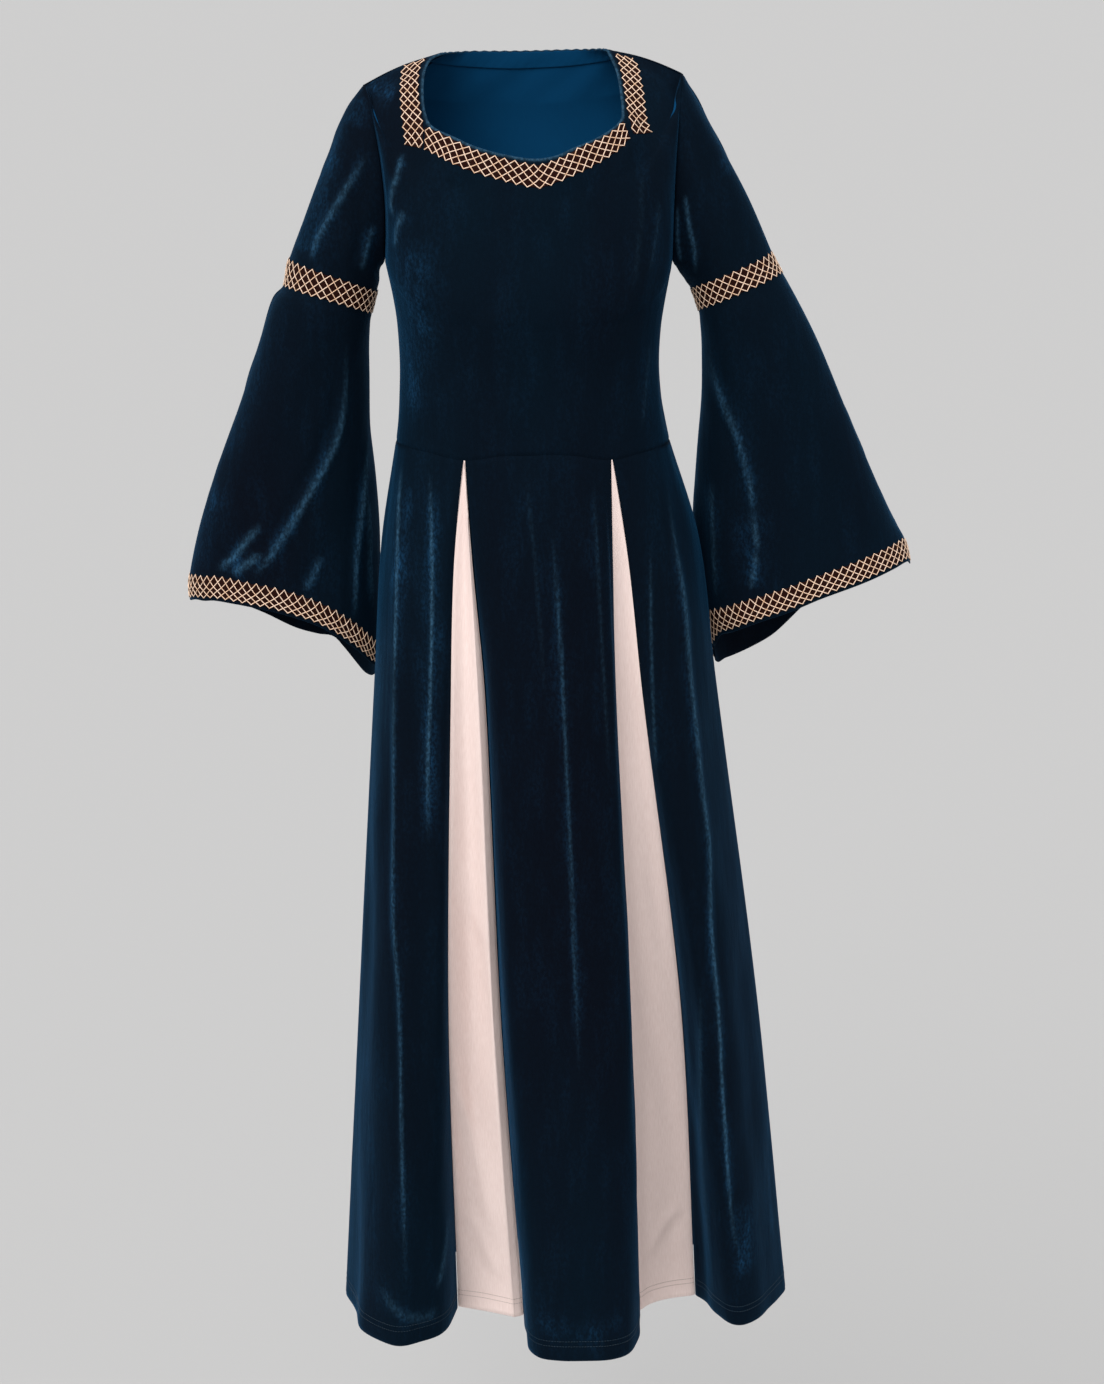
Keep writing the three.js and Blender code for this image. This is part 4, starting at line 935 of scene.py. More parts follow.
def noise(tree, vector, scale, detail=2.0, roughness=0.5):
    node = tree.nodes.new("ShaderNodeTexNoise")
    tree.links.new(vector, node.inputs["Vector"])
    if isinstance(scale, (int, float)):
        node.inputs["Scale"].default_value = scale
    else:
        tree.links.new(scale, node.inputs["Scale"])
    node.inputs["Detail"].default_value = detail
    node.inputs["Roughness"].default_value = roughness
    return node.outputs["Fac"]


def sharpen(tree, value, low, high):
    node = tree.nodes.new("ShaderNodeMapRange")
    node.interpolation_type = "SMOOTHSTEP"
    tree.links.new(value, node.inputs["Value"])
    node.inputs["From Min"].default_value = low
    node.inputs["From Max"].default_value = high
    return node.outputs["Result"]


# %% Pile of the velvet
def pile_group():
    """Pile: mottled streaks where it is brushed, and the tufts themselves."""
    group, given, made = node_group(
        "pile",
        [("Vector", "NodeSocketVector", None), ("Tufts", "NodeSocketFloat", 900.0)],
        ["Streaks", "Mottle", "Drift", "Height"],
    )
    vector = given.outputs["Vector"]
    long_vector = stretch(group, vector, (1, 1, 0.22))
    short_vector = stretch(group, vector, (1, 1, 0.6))
    streaks = noise(group, long_vector, scale=46.0, detail=4.0, roughness=0.6)
    mottle = noise(group, short_vector, scale=330.0, detail=3.0, roughness=0.65)
    drift = noise(group, long_vector, scale=5.0, detail=2.0)
    tufts = noise(group, vector, scale=given.outputs["Tufts"], detail=1.0)
    brushed = noise(group, long_vector, scale=70.0, detail=3.0, roughness=0.6)
    height = calculate(group, "MULTIPLY_ADD", brushed, 1.6, calculate(group, "MULTIPLY", tufts, 0.5))
    group.links.new(sharpen(group, streaks, 0.42, 0.72), made.inputs["Streaks"])
    group.links.new(sharpen(group, mottle, 0.36, 0.7), made.inputs["Mottle"])
    group.links.new(sharpen(group, drift, 0.3, 0.7), made.inputs["Drift"])
    group.links.new(height, made.inputs["Height"])
    return group


# %% Weave and twist
def weave_group():
    """Plain weave: warp and weft that cross, from the cloth's own coordinates."""
    group, given, made = node_group(
        "plain_weave",
        [("Vector", "NodeSocketVector", None), ("Threads", "NodeSocketFloat", 1500.0)],
        ["Height", "Slub"],
    )
    scaled = add_node(group, "ShaderNodeVectorMath", operation="SCALE")
    group.links.new(given.outputs["Vector"], scaled.inputs[0])
    group.links.new(given.outputs["Threads"], scaled.inputs["Scale"])
    split = add_node(group, "ShaderNodeSeparateXYZ", {"Vector": scaled.outputs[0]})
    warp = calculate(group, "SINE", calculate(group, "MULTIPLY", split.outputs["X"], math.pi))
    weft = calculate(group, "SINE", calculate(group, "MULTIPLY", split.outputs["Y"], math.pi))
    crossing = calculate(group, "MULTIPLY", warp, weft)
    slub_vector = stretch(group, given.outputs["Vector"], (1, 0.08, 1))
    slub = noise(group, slub_vector, scale=900.0, detail=3.0, roughness=0.6)
    height = calculate(group, "ADD", calculate(group, "ABSOLUTE", crossing), slub)
    group.links.new(height, made.inputs["Height"])
    group.links.new(slub, made.inputs["Slub"])
    return group


def twist_group():
    """Twist: the slanting plies of a thread, from coordinates along and round it."""
    group, given, made = node_group(
        "thread_twist",
        [("Vector", "NodeSocketVector", None), ("Plies", "NodeSocketFloat", 900.0)],
        ["Height", "Shade"],
    )
    split = add_node(group, "ShaderNodeSeparateXYZ", {"Vector": given.outputs["Vector"]})
    slant = calculate(group, "ADD", split.outputs["X"], split.outputs["Y"])
    plies = calculate(group, "SINE", calculate(group, "MULTIPLY", slant, given.outputs["Plies"]))
    shade = noise(group, given.outputs["Vector"], scale=240.0, detail=2.0, roughness=0.6)
    group.links.new(plies, made.inputs["Height"])
    group.links.new(shade, made.inputs["Shade"])
    return group


PILE, WEAVE, TWIST = pile_group(), weave_group(), twist_group()
print("node groups:", PILE.name, WEAVE.name, TWIST.name)

# %% [markdown]
# ## Materials
# Velvet has hardly any shininess of its own. Its colour is dark, and the sheen lobe of the
# shader lights the tips of the pile where the cloth turns away. Along the creases and in
# patches a lighter, mottled blue is painted into the colour: a painted highlight where
# pressed pile catches the light, and a thin painted highlight line on each ridge top.
# The reverse is a flat knit in a clearer blue.

# %% Colours
VELVET_DARK = (0.0016, 0.0026, 0.0056)
VELVET_TEAL = (0.0012, 0.0052, 0.0105)
# Painted highlight colours: lit, pressed pile and the thin line on each ridge top.
VELVET_LIT = (0.009, 0.052, 0.120)
VELVET_CREST = (0.038, 0.105, 0.175)
VELVET_SHEEN = (0.020, 0.140, 0.310)
SHEEN_WEIGHT, SHEEN_SEAM_LOSS = 0.42, 0.35
REVERSE_BLUE = (0.0014, 0.050, 0.132)
COTTON_PINK = (0.86, 0.705, 0.660)
COTTON_SHADE = (0.78, 0.620, 0.572)
BRAID_GOLD = (0.95, 0.70, 0.53)
BRAID_SHADE = (0.72, 0.430, 0.250)
RIBBON_BROWN = (0.011, 0.0022, 0.0014)
RIBBON_LIGHT = (0.026, 0.0060, 0.0035)
THREAD_BLUE = (0.010, 0.035, 0.060)
THREAD_TAUPE = (0.230, 0.170, 0.140)


# %% Material helpers
def cloth_material(name, roughness, sheen, sheen_tint, sheen_roughness, specular):
    material = bpy.data.materials.new(name)
    material.use_nodes = True
    tree = material.node_tree
    shader = tree.nodes["Principled BSDF"]
    shader.inputs["Roughness"].default_value = roughness
    shader.inputs["Specular IOR Level"].default_value = specular
    shader.inputs["Sheen Weight"].default_value = sheen
    shader.inputs["Sheen Roughness"].default_value = sheen_roughness
    shader.inputs["Sheen Tint"].default_value = (*sheen_tint, 1)
    return material, tree, shader


def place_group(tree, group, vector, **values):
    node = tree.nodes.new("ShaderNodeGroup")
    node.node_tree = group
    tree.links.new(vector, node.inputs["Vector"])
    for name, value in values.items():
        node.inputs[name].default_value = value
    return node


def blend_color(tree, factor, low, high):
    """A colour between two others. Either one may be a plain colour or a socket."""
    node = tree.nodes.new("ShaderNodeMix")
    node.data_type = "RGBA"
    tree.links.new(factor, node.inputs["Factor"])
    for name, value in (("A", low), ("B", high)):
        socket = next(s for s in node.inputs if s.name == name and s.type == "RGBA")
        if isinstance(value, tuple):
            socket.default_value = (*value, 1)
        else:
            tree.links.new(value, socket)
    return next(s for s in node.outputs if s.type == "RGBA")


def bump(tree, shader, height, distance, strength):
    node = tree.nodes.new("ShaderNodeBump")
    node.inputs["Distance"].default_value = distance * MM
    node.inputs["Strength"].default_value = strength
    tree.links.new(height, node.inputs["Height"])
    tree.links.new(node.outputs["Normal"], shader.inputs["Normal"])


def object_vector(tree):
    return tree.nodes.new("ShaderNodeTexCoord").outputs["Object"]


def cloth_vector(tree):
    node = tree.nodes.new("ShaderNodeUVMap")
    node.uv_map = "cloth"
    return node.outputs["UV"]


# %% Velvet
def painted(tree, name):
    """A value that the panel carries at each of its points."""
    return add_node(tree, "ShaderNodeAttribute", attribute_name=name).outputs["Fac"]


def velvet_material():
    material, tree, shader = cloth_material(
        "crushed_velvet_painted_highlights", roughness=0.85, sheen=SHEEN_WEIGHT, sheen_tint=VELVET_SHEEN,
        sheen_roughness=0.38, specular=0.03,
    )
    pile = place_group(tree, PILE, object_vector(tree), Tufts=1400.0)
    shine, seam, crest = painted(tree, "shine"), painted(tree, "seam"), painted(tree, "crest")
    # Painted highlight: a lighter, mottled blue painted into the colour along creases and patches, and a
    # lighter line on each ridge top.
    highlight_share = calculate(tree, "MULTIPLY_ADD", shine, 1.1, 0.08)
    broken = calculate(tree, "MULTIPLY_ADD", pile.outputs["Mottle"], 0.85, 0.15)
    streaked = calculate(tree, "MULTIPLY_ADD", pile.outputs["Streaks"], 0.8, 0.2)
    lit = calculate(tree, "MULTIPLY", calculate(tree, "MULTIPLY", highlight_share, broken), streaked)
    ground = blend_color(tree, pile.outputs["Drift"], VELVET_DARK, VELVET_TEAL)
    highlighted = blend_color(tree, lit, ground, VELVET_LIT)
    uneven = calculate(tree, "MULTIPLY_ADD", pile.outputs["Mottle"], 0.6, 0.25)
    line = calculate(tree, "MULTIPLY", crest, uneven)
    color = blend_color(tree, line, highlighted, VELVET_CREST)
    tree.links.new(color, shader.inputs["Base Color"])
    open_pile = calculate(tree, "MULTIPLY_ADD", seam, -SHEEN_SEAM_LOSS, SHEEN_WEIGHT)
    tree.links.new(open_pile, shader.inputs["Sheen Weight"])
    bump(tree, shader, pile.outputs["Height"], distance=1.2, strength=0.5)
    return material


# %% Reverse, cotton and ribbon
def darker(color, share):
    return tuple(share * value for value in color)


def reverse_material():
    material, tree, shader = cloth_material(
        "velvet_reverse", roughness=0.85, sheen=0.05, sheen_tint=(0.1, 0.4, 0.7),
        sheen_roughness=0.5, specular=0.05,
    )
    weave = place_group(tree, WEAVE, cloth_vector(tree), Threads=1100.0)
    color = blend_color(tree, weave.outputs["Slub"], darker(REVERSE_BLUE, 0.7), REVERSE_BLUE)
    tree.links.new(color, shader.inputs["Base Color"])
    bump(tree, shader, weave.outputs["Height"], distance=0.15, strength=0.4)
    return material


def cotton_material():
    material, tree, shader = cloth_material(
        "plain_cotton", roughness=0.9, sheen=0.08, sheen_tint=(1, 0.9, 0.85),
        sheen_roughness=0.5, specular=0.15,
    )
    weave = place_group(tree, WEAVE, cloth_vector(tree), Threads=1900.0)
    tone = sharpen(tree, weave.outputs["Slub"], 0.25, 0.75)
    tree.links.new(blend_color(tree, tone, COTTON_SHADE, COTTON_PINK), shader.inputs["Base Color"])
    bump(tree, shader, weave.outputs["Height"], distance=0.14, strength=0.5)
    return material


def ribbon_material():
    material, tree, shader = cloth_material(
        "trim_ribbon", roughness=0.8, sheen=0.02, sheen_tint=(0.6, 0.3, 0.2),
        sheen_roughness=0.5, specular=0.06,
    )
    weave = place_group(tree, WEAVE, cloth_vector(tree), Threads=1300.0)
    tone = sharpen(tree, weave.outputs["Height"], 0.7, 1.5)
    tree.links.new(blend_color(tree, tone, RIBBON_BROWN, RIBBON_LIGHT), shader.inputs["Base Color"])
    bump(tree, shader, weave.outputs["Height"], distance=0.2, strength=0.6)
    return material


# %% Threads and cords
def thread_material(name, color, shade, roughness, plies):
    material, tree, shader = cloth_material(
        name, roughness, sheen=0.15, sheen_tint=(1, 0.9, 0.8), sheen_roughness=0.4, specular=0.35,
    )
    twist = place_group(tree, TWIST, cloth_vector(tree), Plies=plies)
    tone = sharpen(tree, twist.outputs["Shade"], 0.3, 0.6)
    tree.links.new(blend_color(tree, tone, shade, color), shader.inputs["Base Color"])
    bump(tree, shader, twist.outputs["Height"], distance=0.15, strength=0.5)
    return material


VELVET, REVERSE = velvet_material(), reverse_material()
COTTON, RIBBON = cotton_material(), ribbon_material()
BRAID = thread_material("gold_braid", BRAID_GOLD, BRAID_SHADE, 0.5, 4200.0)
BLUE_THREAD = thread_material("blue_thread", THREAD_BLUE, darker(THREAD_BLUE, 0.6), 0.6, 6000.0)
TAUPE_THREAD = thread_material("taupe_thread", THREAD_TAUPE, darker(THREAD_TAUPE, 0.7), 0.6, 6000.0)


print("materials:", len(bpy.data.materials))


# %% Dress a piece
def dress(obj, slot, *nodes):
    """Rides on the gown's one body and hides the solids that it stands for."""
    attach(obj, "root")
    if nodes:
        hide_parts(*nodes)
    return obj


def declare(obj, panel):
    width, length, area = panel.cut()
    print(f"{obj.name}: cut {width:.3f} by {length:.3f} m, {area:.4f} m2 of cloth")


# %% [markdown]
# ## Bodice
# The front and the back are sewn to the skirt, to each other and to the sleeves. They
# could be one tube, but two panels let the seams sink in as sewn cloth does. Only the
# neckline is a free edge, turned over a narrow roll that stands a little thicker.

# %% Bodice panels
VELVET_THICK = 1.5
NECK_ROLL, NECK_ROLL_DEPTH = 1.1, 3
NECK_HIGHLIGHT_SPREAD, NECK_EDGE_HIGHLIGHT = 1.6, 0.8
ARMHOLE_TURNED = 34
NECK_WAVE, NECK_WAVE_DEPTH, PUCKER_LENGTH = 0.4, 7, 12
BODICE_CENTRE = np.array([0, 0, -220.0])
BODICE_COLUMNS, BODICE_WIDTH = 118, 420
SIDE_ROWS, SIDE_LENGTH = 34, 200
ARMHOLE_ROWS = 60
TOP_ROWS, TOP_LENGTH = 22, 70
panels, cloths = {}, {}


def bodice_rows():
    side = stations(SIDE_ROWS, SIDE_LENGTH, fine_end=False) * SIDE_SHARE
    armhole = SIDE_SHARE + np.linspace(0, 1, ARMHOLE_ROWS)[1:] * ARMHOLE_SHARE
    top_share = SIDE_SHARE + ARMHOLE_SHARE
    top = top_share + stations(TOP_ROWS, TOP_LENGTH, fine_start=False)[1:] * (1 - top_share)
    return np.concatenate([side, armhole, top])


for name, face, seed in (("bodice_front", FRONT, 3), ("bodice_back", BACK, 4)):
    rows, columns = bodice_rows(), stations(BODICE_COLUMNS, BODICE_WIDTH)
    grid = bodice_point(face, columns[None, :], rows[:, None])
    seams, fades = ("left", "right", "first"), ("last",)
    panel = hung_panel(name, grid, BODICE_CENTRE, rows, columns, seams, seed, fades, rounded=True)
    from_neck = walked(grid, 0)[-1:] - walked(grid, 0)
    roll = NECK_ROLL * np.exp(-((from_neck / NECK_ROLL_DEPTH) ** 2))
    # A thin painted highlight along the rolled neck edge.
    edge_highlight = NECK_EDGE_HIGHLIGHT * np.exp(-((from_neck / NECK_HIGHLIGHT_SPREAD) ** 2))
    panel.crest = np.maximum(panel.crest, edge_highlight)
    if face == BACK:
        waves = np.sin(2 * np.pi * walked(grid, 1) / PUCKER_LENGTH)
        panel.grid[..., 2] += NECK_WAVE * waves * np.exp(-from_neck / NECK_WAVE_DEPTH)
    panels[name] = panel
    beside_arm = rows[:, None] > SIDE_SHARE
    turned = (seam_distance(grid, ("left", "right")) < ARMHOLE_TURNED) & beside_arm
    cloth = panel.build(name + "_velvet", VELVET_THICK + roll, (VELVET, REVERSE), turned)
    cloths[name] = dress(cloth, "velvet", name)

# %% [markdown]
# ## Back neck facing
# A narrow strip of the same velvet finishes the back neckline from inside. It is stitched
# down along its lower edge, which puckers a little.
# It is sampled from the back panel and moved in, so it follows every wave of the edge.

# %% Facing
FACING_DEPTH, FACING_INSET = 19, 2 / 24
FACING_COLUMNS, FACING_ROWS = 110, 14
FACING_SAMPLE = 0.1
FACING_THICK, FACING_GAP = 0.9, 0.35
PUCKER_RISE, PUCKER_TOP = 0.15, 0.2


def facing_panel():
    columns = np.linspace(FACING_INSET, 1 - FACING_INSET, FACING_COLUMNS)
    rows = np.linspace(FACING_DEPTH, 0, FACING_ROWS)
    top = bodice_point(BACK, columns, 1.0)
    length = np.linalg.norm(top - bodice_point(BACK, columns, 1 - FACING_SAMPLE), axis=-1)
    v = 1 - FACING_SAMPLE * rows[:, None] / length[None, :]
    point, outward = panels["bodice_back"].sample(v, np.broadcast_to(columns, v.shape))
    fade = np.linspace(1, PUCKER_TOP, FACING_ROWS)[:, None]
    pucker = PUCKER_RISE * np.sin(2 * np.pi * walked(point, 1) / PUCKER_LENGTH) * fade
    grid = point - outward * (VELVET_THICK + FACING_GAP + pucker[..., None])
    return hung_panel("back_neck_facing", grid, BODICE_CENTRE, rows[::-1], columns, drape_rise=0)


facing = facing_panel()
facing_cloth = facing.build("back_neck_facing_velvet", FACING_THICK, (VELVET, REVERSE))
dress(facing_cloth, "velvet", "back_neck_facing")

# %% [markdown]
# ## Sleeves
# Each sleeve is a slim upper tube and a wide flare, joined under the arm band. The long
# soft creases of the flare start at that seam. The cuff has a deep turned-up hem, so the
# pile shows inside it. The hem is real, and its depth also puts the dark pile where the
# inside of the cuff lies in shade, as painted shade.

# %% Sleeve panels
SLEEVE_COLUMNS = 132
UPPER_ROWS, UPPER_LENGTH = 64, 240
FLARE_ROWS, FLARE_LENGTH = 96, 420
# A real hem, made deep so that its dark pile also stands for the shade inside the cuff: painted shade.
CUFF_TURNED = 60


def sleeve_panel(name, side, rings, seams, fades, seed):
    angles = np.linspace(0, 2 * np.pi, SLEEVE_COLUMNS, endpoint=False)
    grid = sleeve_point(side, rings[:, None], angles[None, :])
    centre = grid.mean(1, keepdims=True)
    return hung_panel(name, grid, centre, rings, angles, seams, seed, fades, closed=True)


for side in (LEFT, RIGHT):
    word = WORDS[side]
    top_rings = stations(UPPER_ROWS, UPPER_LENGTH) * SLEEVE_SEAM_RING
    foot_shares = stations(FLARE_ROWS, FLARE_LENGTH, fine_end=False)
    foot_rings = SLEEVE_SEAM_RING + foot_shares * (HEM_RING - SLEEVE_SEAM_RING)
    upper = sleeve_panel(f"sleeve_upper_{word}", side, top_rings, ("first", "last"), (), 10 + side)
    flare = sleeve_panel(f"sleeve_flare_{word}", side, foot_rings, ("first",), ("last",), 20 + side)
    for panel in (upper, flare):
        panels[panel.name] = panel
        up = walked(panel.grid, 0)
        turned = up[-1:] - up < CUFF_TURNED if panel is flare else up < ARMHOLE_TURNED
        velvet = panel.build(panel.name + "_velvet", VELVET_THICK, (VELVET, REVERSE), turned)
        cloths[panel.name] = dress(velvet, "velvet", panel.name)

# %% [markdown]
# ## Skirt
# Six panels hang from the waist: a centre and two sides in front with a pale godet on
# either side of the centre, and one wide back. The hem is turned up once, so the cloth
# is double below its stitches.

# %% Skirt panels
SKIRT_PANELS = [
    # name, first fold, last fold, fine steps in each fold
    ("skirt_front_side_left", 0, 6, 12),
    ("godet_left", 6, 9, 10),
    ("skirt_front_center", 9, 17, 12),
    ("godet_right", 17, 20, 10),
    ("skirt_front_side_right", 20, 26, 12),
    ("skirt_back", 26, 39, 13),
]
SKIRT_ROWS = 180
FOLD_WIDTH = 30
SKIRT_LENGTH = WAIST_Z - HEM_Z
SKIRT_CENTRE = np.array([20, 30, -960.0])
HEM_ALLOWANCE, HEM_EXTRA = 26, 0.9
COTTON_THICK = 1.1

for seed, (name, first, last, steps) in enumerate(SKIRT_PANELS, 30):
    shares = stations(SKIRT_ROWS, SKIRT_LENGTH, fine_end=False)
    folds = last - first
    columns = first + stations(steps * folds, FOLD_WIDTH * folds) * folds
    grid = skirt_grid(shares, columns)
    panel = hung_panel(name, grid, SKIRT_CENTRE, shares, columns, ("left", "right", "first"), seed)
    plain = name.startswith("godet")
    base = COTTON_THICK if plain else VELVET_THICK
    above_hem = (1 - shares[:, None]) * SKIRT_LENGTH
    thickness = base + HEM_EXTRA * ease((HEM_ALLOWANCE + 1 - above_hem) / 2)
    materials = (COTTON, COTTON) if plain else (VELVET, REVERSE)
    panels[name] = panel
    cloth = panel.build(name + ("_cotton" if plain else "_velvet"), thickness, materials)
    cloths[name] = dress(cloth, "godet_cloth" if plain else "velvet", name)

# %% [markdown]
# ## Lattice trim
# The trim is a dark ribbon with raised gold cords that zigzag between its edges. Five cords
# side by side cross each other into a lattice of diamonds, each one over and under the
# next. Their turns give the ribbon its toothed edges: a tooth above a notch, all along.
# A picture of a lattice would lie flat, so each cord is a real, fine tube.

# %% Measures of a band
STRANDS = 5
CELLS_ACROSS = STRANDS / 2
PITCH = 10.8
CORD_HALF, CORD_HIGH = 0.52, 0.42
CORD_SIDES = 6
TURN_TIP, TURN_WIDTH = 0.01, 1.25
WEAVE_LIFT = 0.32
RIBBON_LIFT, RIBBON_THICK = 0.35, 0.6
RIBBON_ROWS = 11
CORD_LIFT = RIBBON_LIFT + 0.45
STEPS_PER_CELL = 4
TOOTH_FILL = 0.3
trims = []


# %% A cord of the lattice
def zigzag(cell):
    """How far across the band a cord lies, 0 to 1, at a place counted in cells."""
    phase = np.mod(cell, STRANDS) / CELLS_ACROSS
    return np.where(phase <= 1, phase, 2 - phase)


def cord_mesh(place, cells, closed, start):
    """The points, faces and coordinates of one flat cord of the lattice."""
    count = cells * STEPS_PER_CELL + (0 if closed else 1)
    cell = np.arange(count) / STEPS_PER_CELL
    across = zigzag(cell + start)
    crossing = np.mod(cell + start, STRANDS) * 2
    rising = crossing <= STRANDS
    over = np.cos(np.pi * crossing) * np.where(rising, 1, -1)
    tip = np.minimum(across, 1 - across) * STRANDS
    over = over * ease(tip)
    point, outward = place(cell, across)
    point = point + outward * (CORD_LIFT + WEAVE_LIFT * over)[:, None]
    side = unit(np.cross(slope(point, 0, closed), outward))
    widen = np.where(tip < TURN_TIP, TURN_WIDTH, 1.0)[:, None]
    turn = np.arange(CORD_SIDES) * 2 * np.pi / CORD_SIDES
    ring = (
        point[:, None]
        + side[:, None] * (np.cos(turn)[:, None] * CORD_HALF * widen[:, None])
        + outward[:, None] * (np.sin(turn)[:, None] * CORD_HIGH)
    )
    index = np.arange(count * CORD_SIDES).reshape(count, CORD_SIDES)
    if closed:
        index = np.concatenate([index, index[:1]])
    follow = np.roll(index, -1, 1)
    faces = np.stack([index[:-1], index[1:], follow[1:], follow[:-1]], -1).reshape(-1, 4)
    uv = np.stack(np.broadcast_arrays(cell[:, None] * PITCH, turn * CORD_HALF), -1)
    ends = [] if closed else [index[0], index[-1, ::-1]]
    return ring.reshape(-1, 3), faces, uv.reshape(-1, 2), ends


def lattice(name, place, cells, closed):
    points, uvs, faces, start = [], [], [], 0
    for strand in range(STRANDS):
        ring, quads, uv, ends = cord_mesh(place, cells, closed and cells % STRANDS == 0, strand)
        points.append(ring)
        uvs.append(uv)
        faces += (quads + start).tolist()
        faces += [(end + start).tolist() for end in ends]
        start += len(ring)
    print(f"{name}: {cells} cells, {STRANDS} cords, {len(faces)} faces")
    return new_object(name, np.concatenate(points), faces, (BRAID,), np.concatenate(uvs))


# %% The ribbon and the whole trim
def ribbon(name, place, cells, closed):
    """The toothed dark ribbon under the cords."""
    count = cells * STEPS_PER_CELL * 2
    cell = np.arange(count if closed else count + 1) / (STEPS_PER_CELL * 2)
    foot_dip, top_dip = (
        TOOTH_FILL / STRANDS * (1 - np.abs(1 - 2 * np.mod(cell + shift, 1))) for shift in (0, 0.5)
    )
    share = np.linspace(0, 1, RIBBON_ROWS)[:, None]
    across = mix(foot_dip, 1 - top_dip, share)
    along = np.broadcast_to(cell, across.shape)
    point, outward = place(along.ravel(), across.ravel())
    shape = across.shape + (3,)
    grid = (point + outward * (RIBBON_LIFT + RIBBON_THICK / 2)).reshape(shape)
    panel = Panel(name, grid, outward.reshape(shape), share[:, 0], cell, closed)
    return panel.build(name, RIBBON_THICK, (RIBBON,)), panel


def trim(node, place, cells, closed, part=""):
    ground, panel = ribbon(f"{node}{part}_ribbon", place, cells, closed)
    cords = lattice(f"{node}{part}_lattice", place, cells, closed)
    dress(ground, "woven_trim", node)
    dress(cords, "woven_trim")
    trims.append((ground, cords, panel))


# %% [markdown]
# ## Trim round the sleeves
# A band has its own length: it is measured round the middle of the sleeve's ring, and the
# cells are counted so that the lattice closes on itself.

# %% Sleeve trim
CUFF_TRIM_INSET = 3
RING_STEPS = 720
BAND_MARGIN, BAND_ROWS = 0.4, 15


def ring_band(panel, side, top_ring, foot_ring):
    """How to find a place on a band that runs round a sleeve."""
    angles = np.linspace(0, 2 * np.pi, RING_STEPS)
    middle = (top_ring + foot_ring) / 2
    lengths = walked(sleeve_point(side, middle, angles)[None], 1)[0]
    cells = STRANDS * round(lengths[-1] / PITCH / STRANDS)

    def place(cell, across):
        angle = np.interp(np.asarray(cell) / cells * lengths[-1], lengths, angles)
        return panel.sample(mix(foot_ring, top_ring, across), angle)

    return place, cells


def band_surface(word, side):
    """The arm band lies over the seam of two tubes, so it needs a surface of its own."""
    rings = np.linspace(BAND_TOP_RING - BAND_MARGIN, BAND_FOOT_RING + BAND_MARGIN, BAND_ROWS)
    angles = panels[f"sleeve_upper_{word}"].columns
    grid = sleeve_point(side, rings[:, None], angles[None, :])
    return Panel("band", grid, outward_of(grid, grid.mean(1, keepdims=True), True), rings, angles, True)


for side in (LEFT, RIGHT):
    word = WORDS[side]
    top = sleeve_point(side, CUFF_TOP_RING, np.pi / 2)
    hem_depth = np.linalg.norm(sleeve_point(side, HEM_RING, np.pi / 2) - top)
    cuff_foot_ring = HEM_RING - CUFF_TRIM_INSET / hem_depth
    place, cells = ring_band(panels[f"sleeve_flare_{word}"], side, CUFF_TOP_RING, cuff_foot_ring)
    trim(f"cuff_trim_{word}", place, cells, True)
    place, cells = ring_band(band_surface(word, side), side, BAND_TOP_RING, BAND_FOOT_RING)
    trim(f"arm_trim_{word}", place, cells, True)

# %% [markdown]
# ## Trim at the neck
# Two short strips come down from the shoulders, and a curved band joins them under the
# neckline, mitred just beside the middle. They are placed as seen from the front and then
# seated on the bodice.

# %% Measures of the neck trim
NECK_TRIMS = {
    "neck_trim_left": table("foot_x foot_z top_x top_z", [
        (-130.5, -12.5, -104.5, -4), (-133.5, -18.4, -110.5, -9.8), (-134, -27, -112.8, -20.4),
        (-133.6, -39, -113, -36.8), (-132.8, -52, -111.3, -51), (-131.5, -65.5, -108.5, -64.5),
        (-129.6, -80, -106.8, -78), (-128, -93.3, -108, -97),
    ]),
    "neck_trim_right": table("foot_x foot_z top_x top_z", [
        (119, -5, 98.5, 0.5), (122.9, -9.8, 101.4, -4.4), (126, -16, 103.6, -11),
        (127.6, -23.5, 105.6, -18.5), (130.2, -38.8, 108.2, -34), (131.5, -50.6, 109.6, -44),
        (132.6, -60.4, 111, -54.5), (135, -71, 113.4, -66), (139, -80.8, 117.5, -81.9),
    ]),
    "neck_trim_front": table("top_x top_z foot_x foot_z", [
        (-105, -74, -106, -98), (-92, -78, -95, -103), (-64, -91, -76, -112), (-44, -99, -52, -121),
        (-22, -105, -26, -128), (2, -110, -2, -134), (16, -112, 18, -137), (31, -108, 37, -131),
        (46, -102, 56, -123), (62, -93, 72, -116), (79, -87, 89, -107), (96, -77.5, 105, -96.5),
        (107.2, -67.6, 114.2, -86.3),
    ]),
}
MITRE_ROW = 6

# %% Seat the neck trim
BAND_STEPS = 200
SEAT_GRID, SEAT_LOW, SEAT_HIGH = 49, 0.5, 0.995
SEAT_TRIES = 12
SEAT_STEP, SEAT_JUMP = 1e-3, 0.05


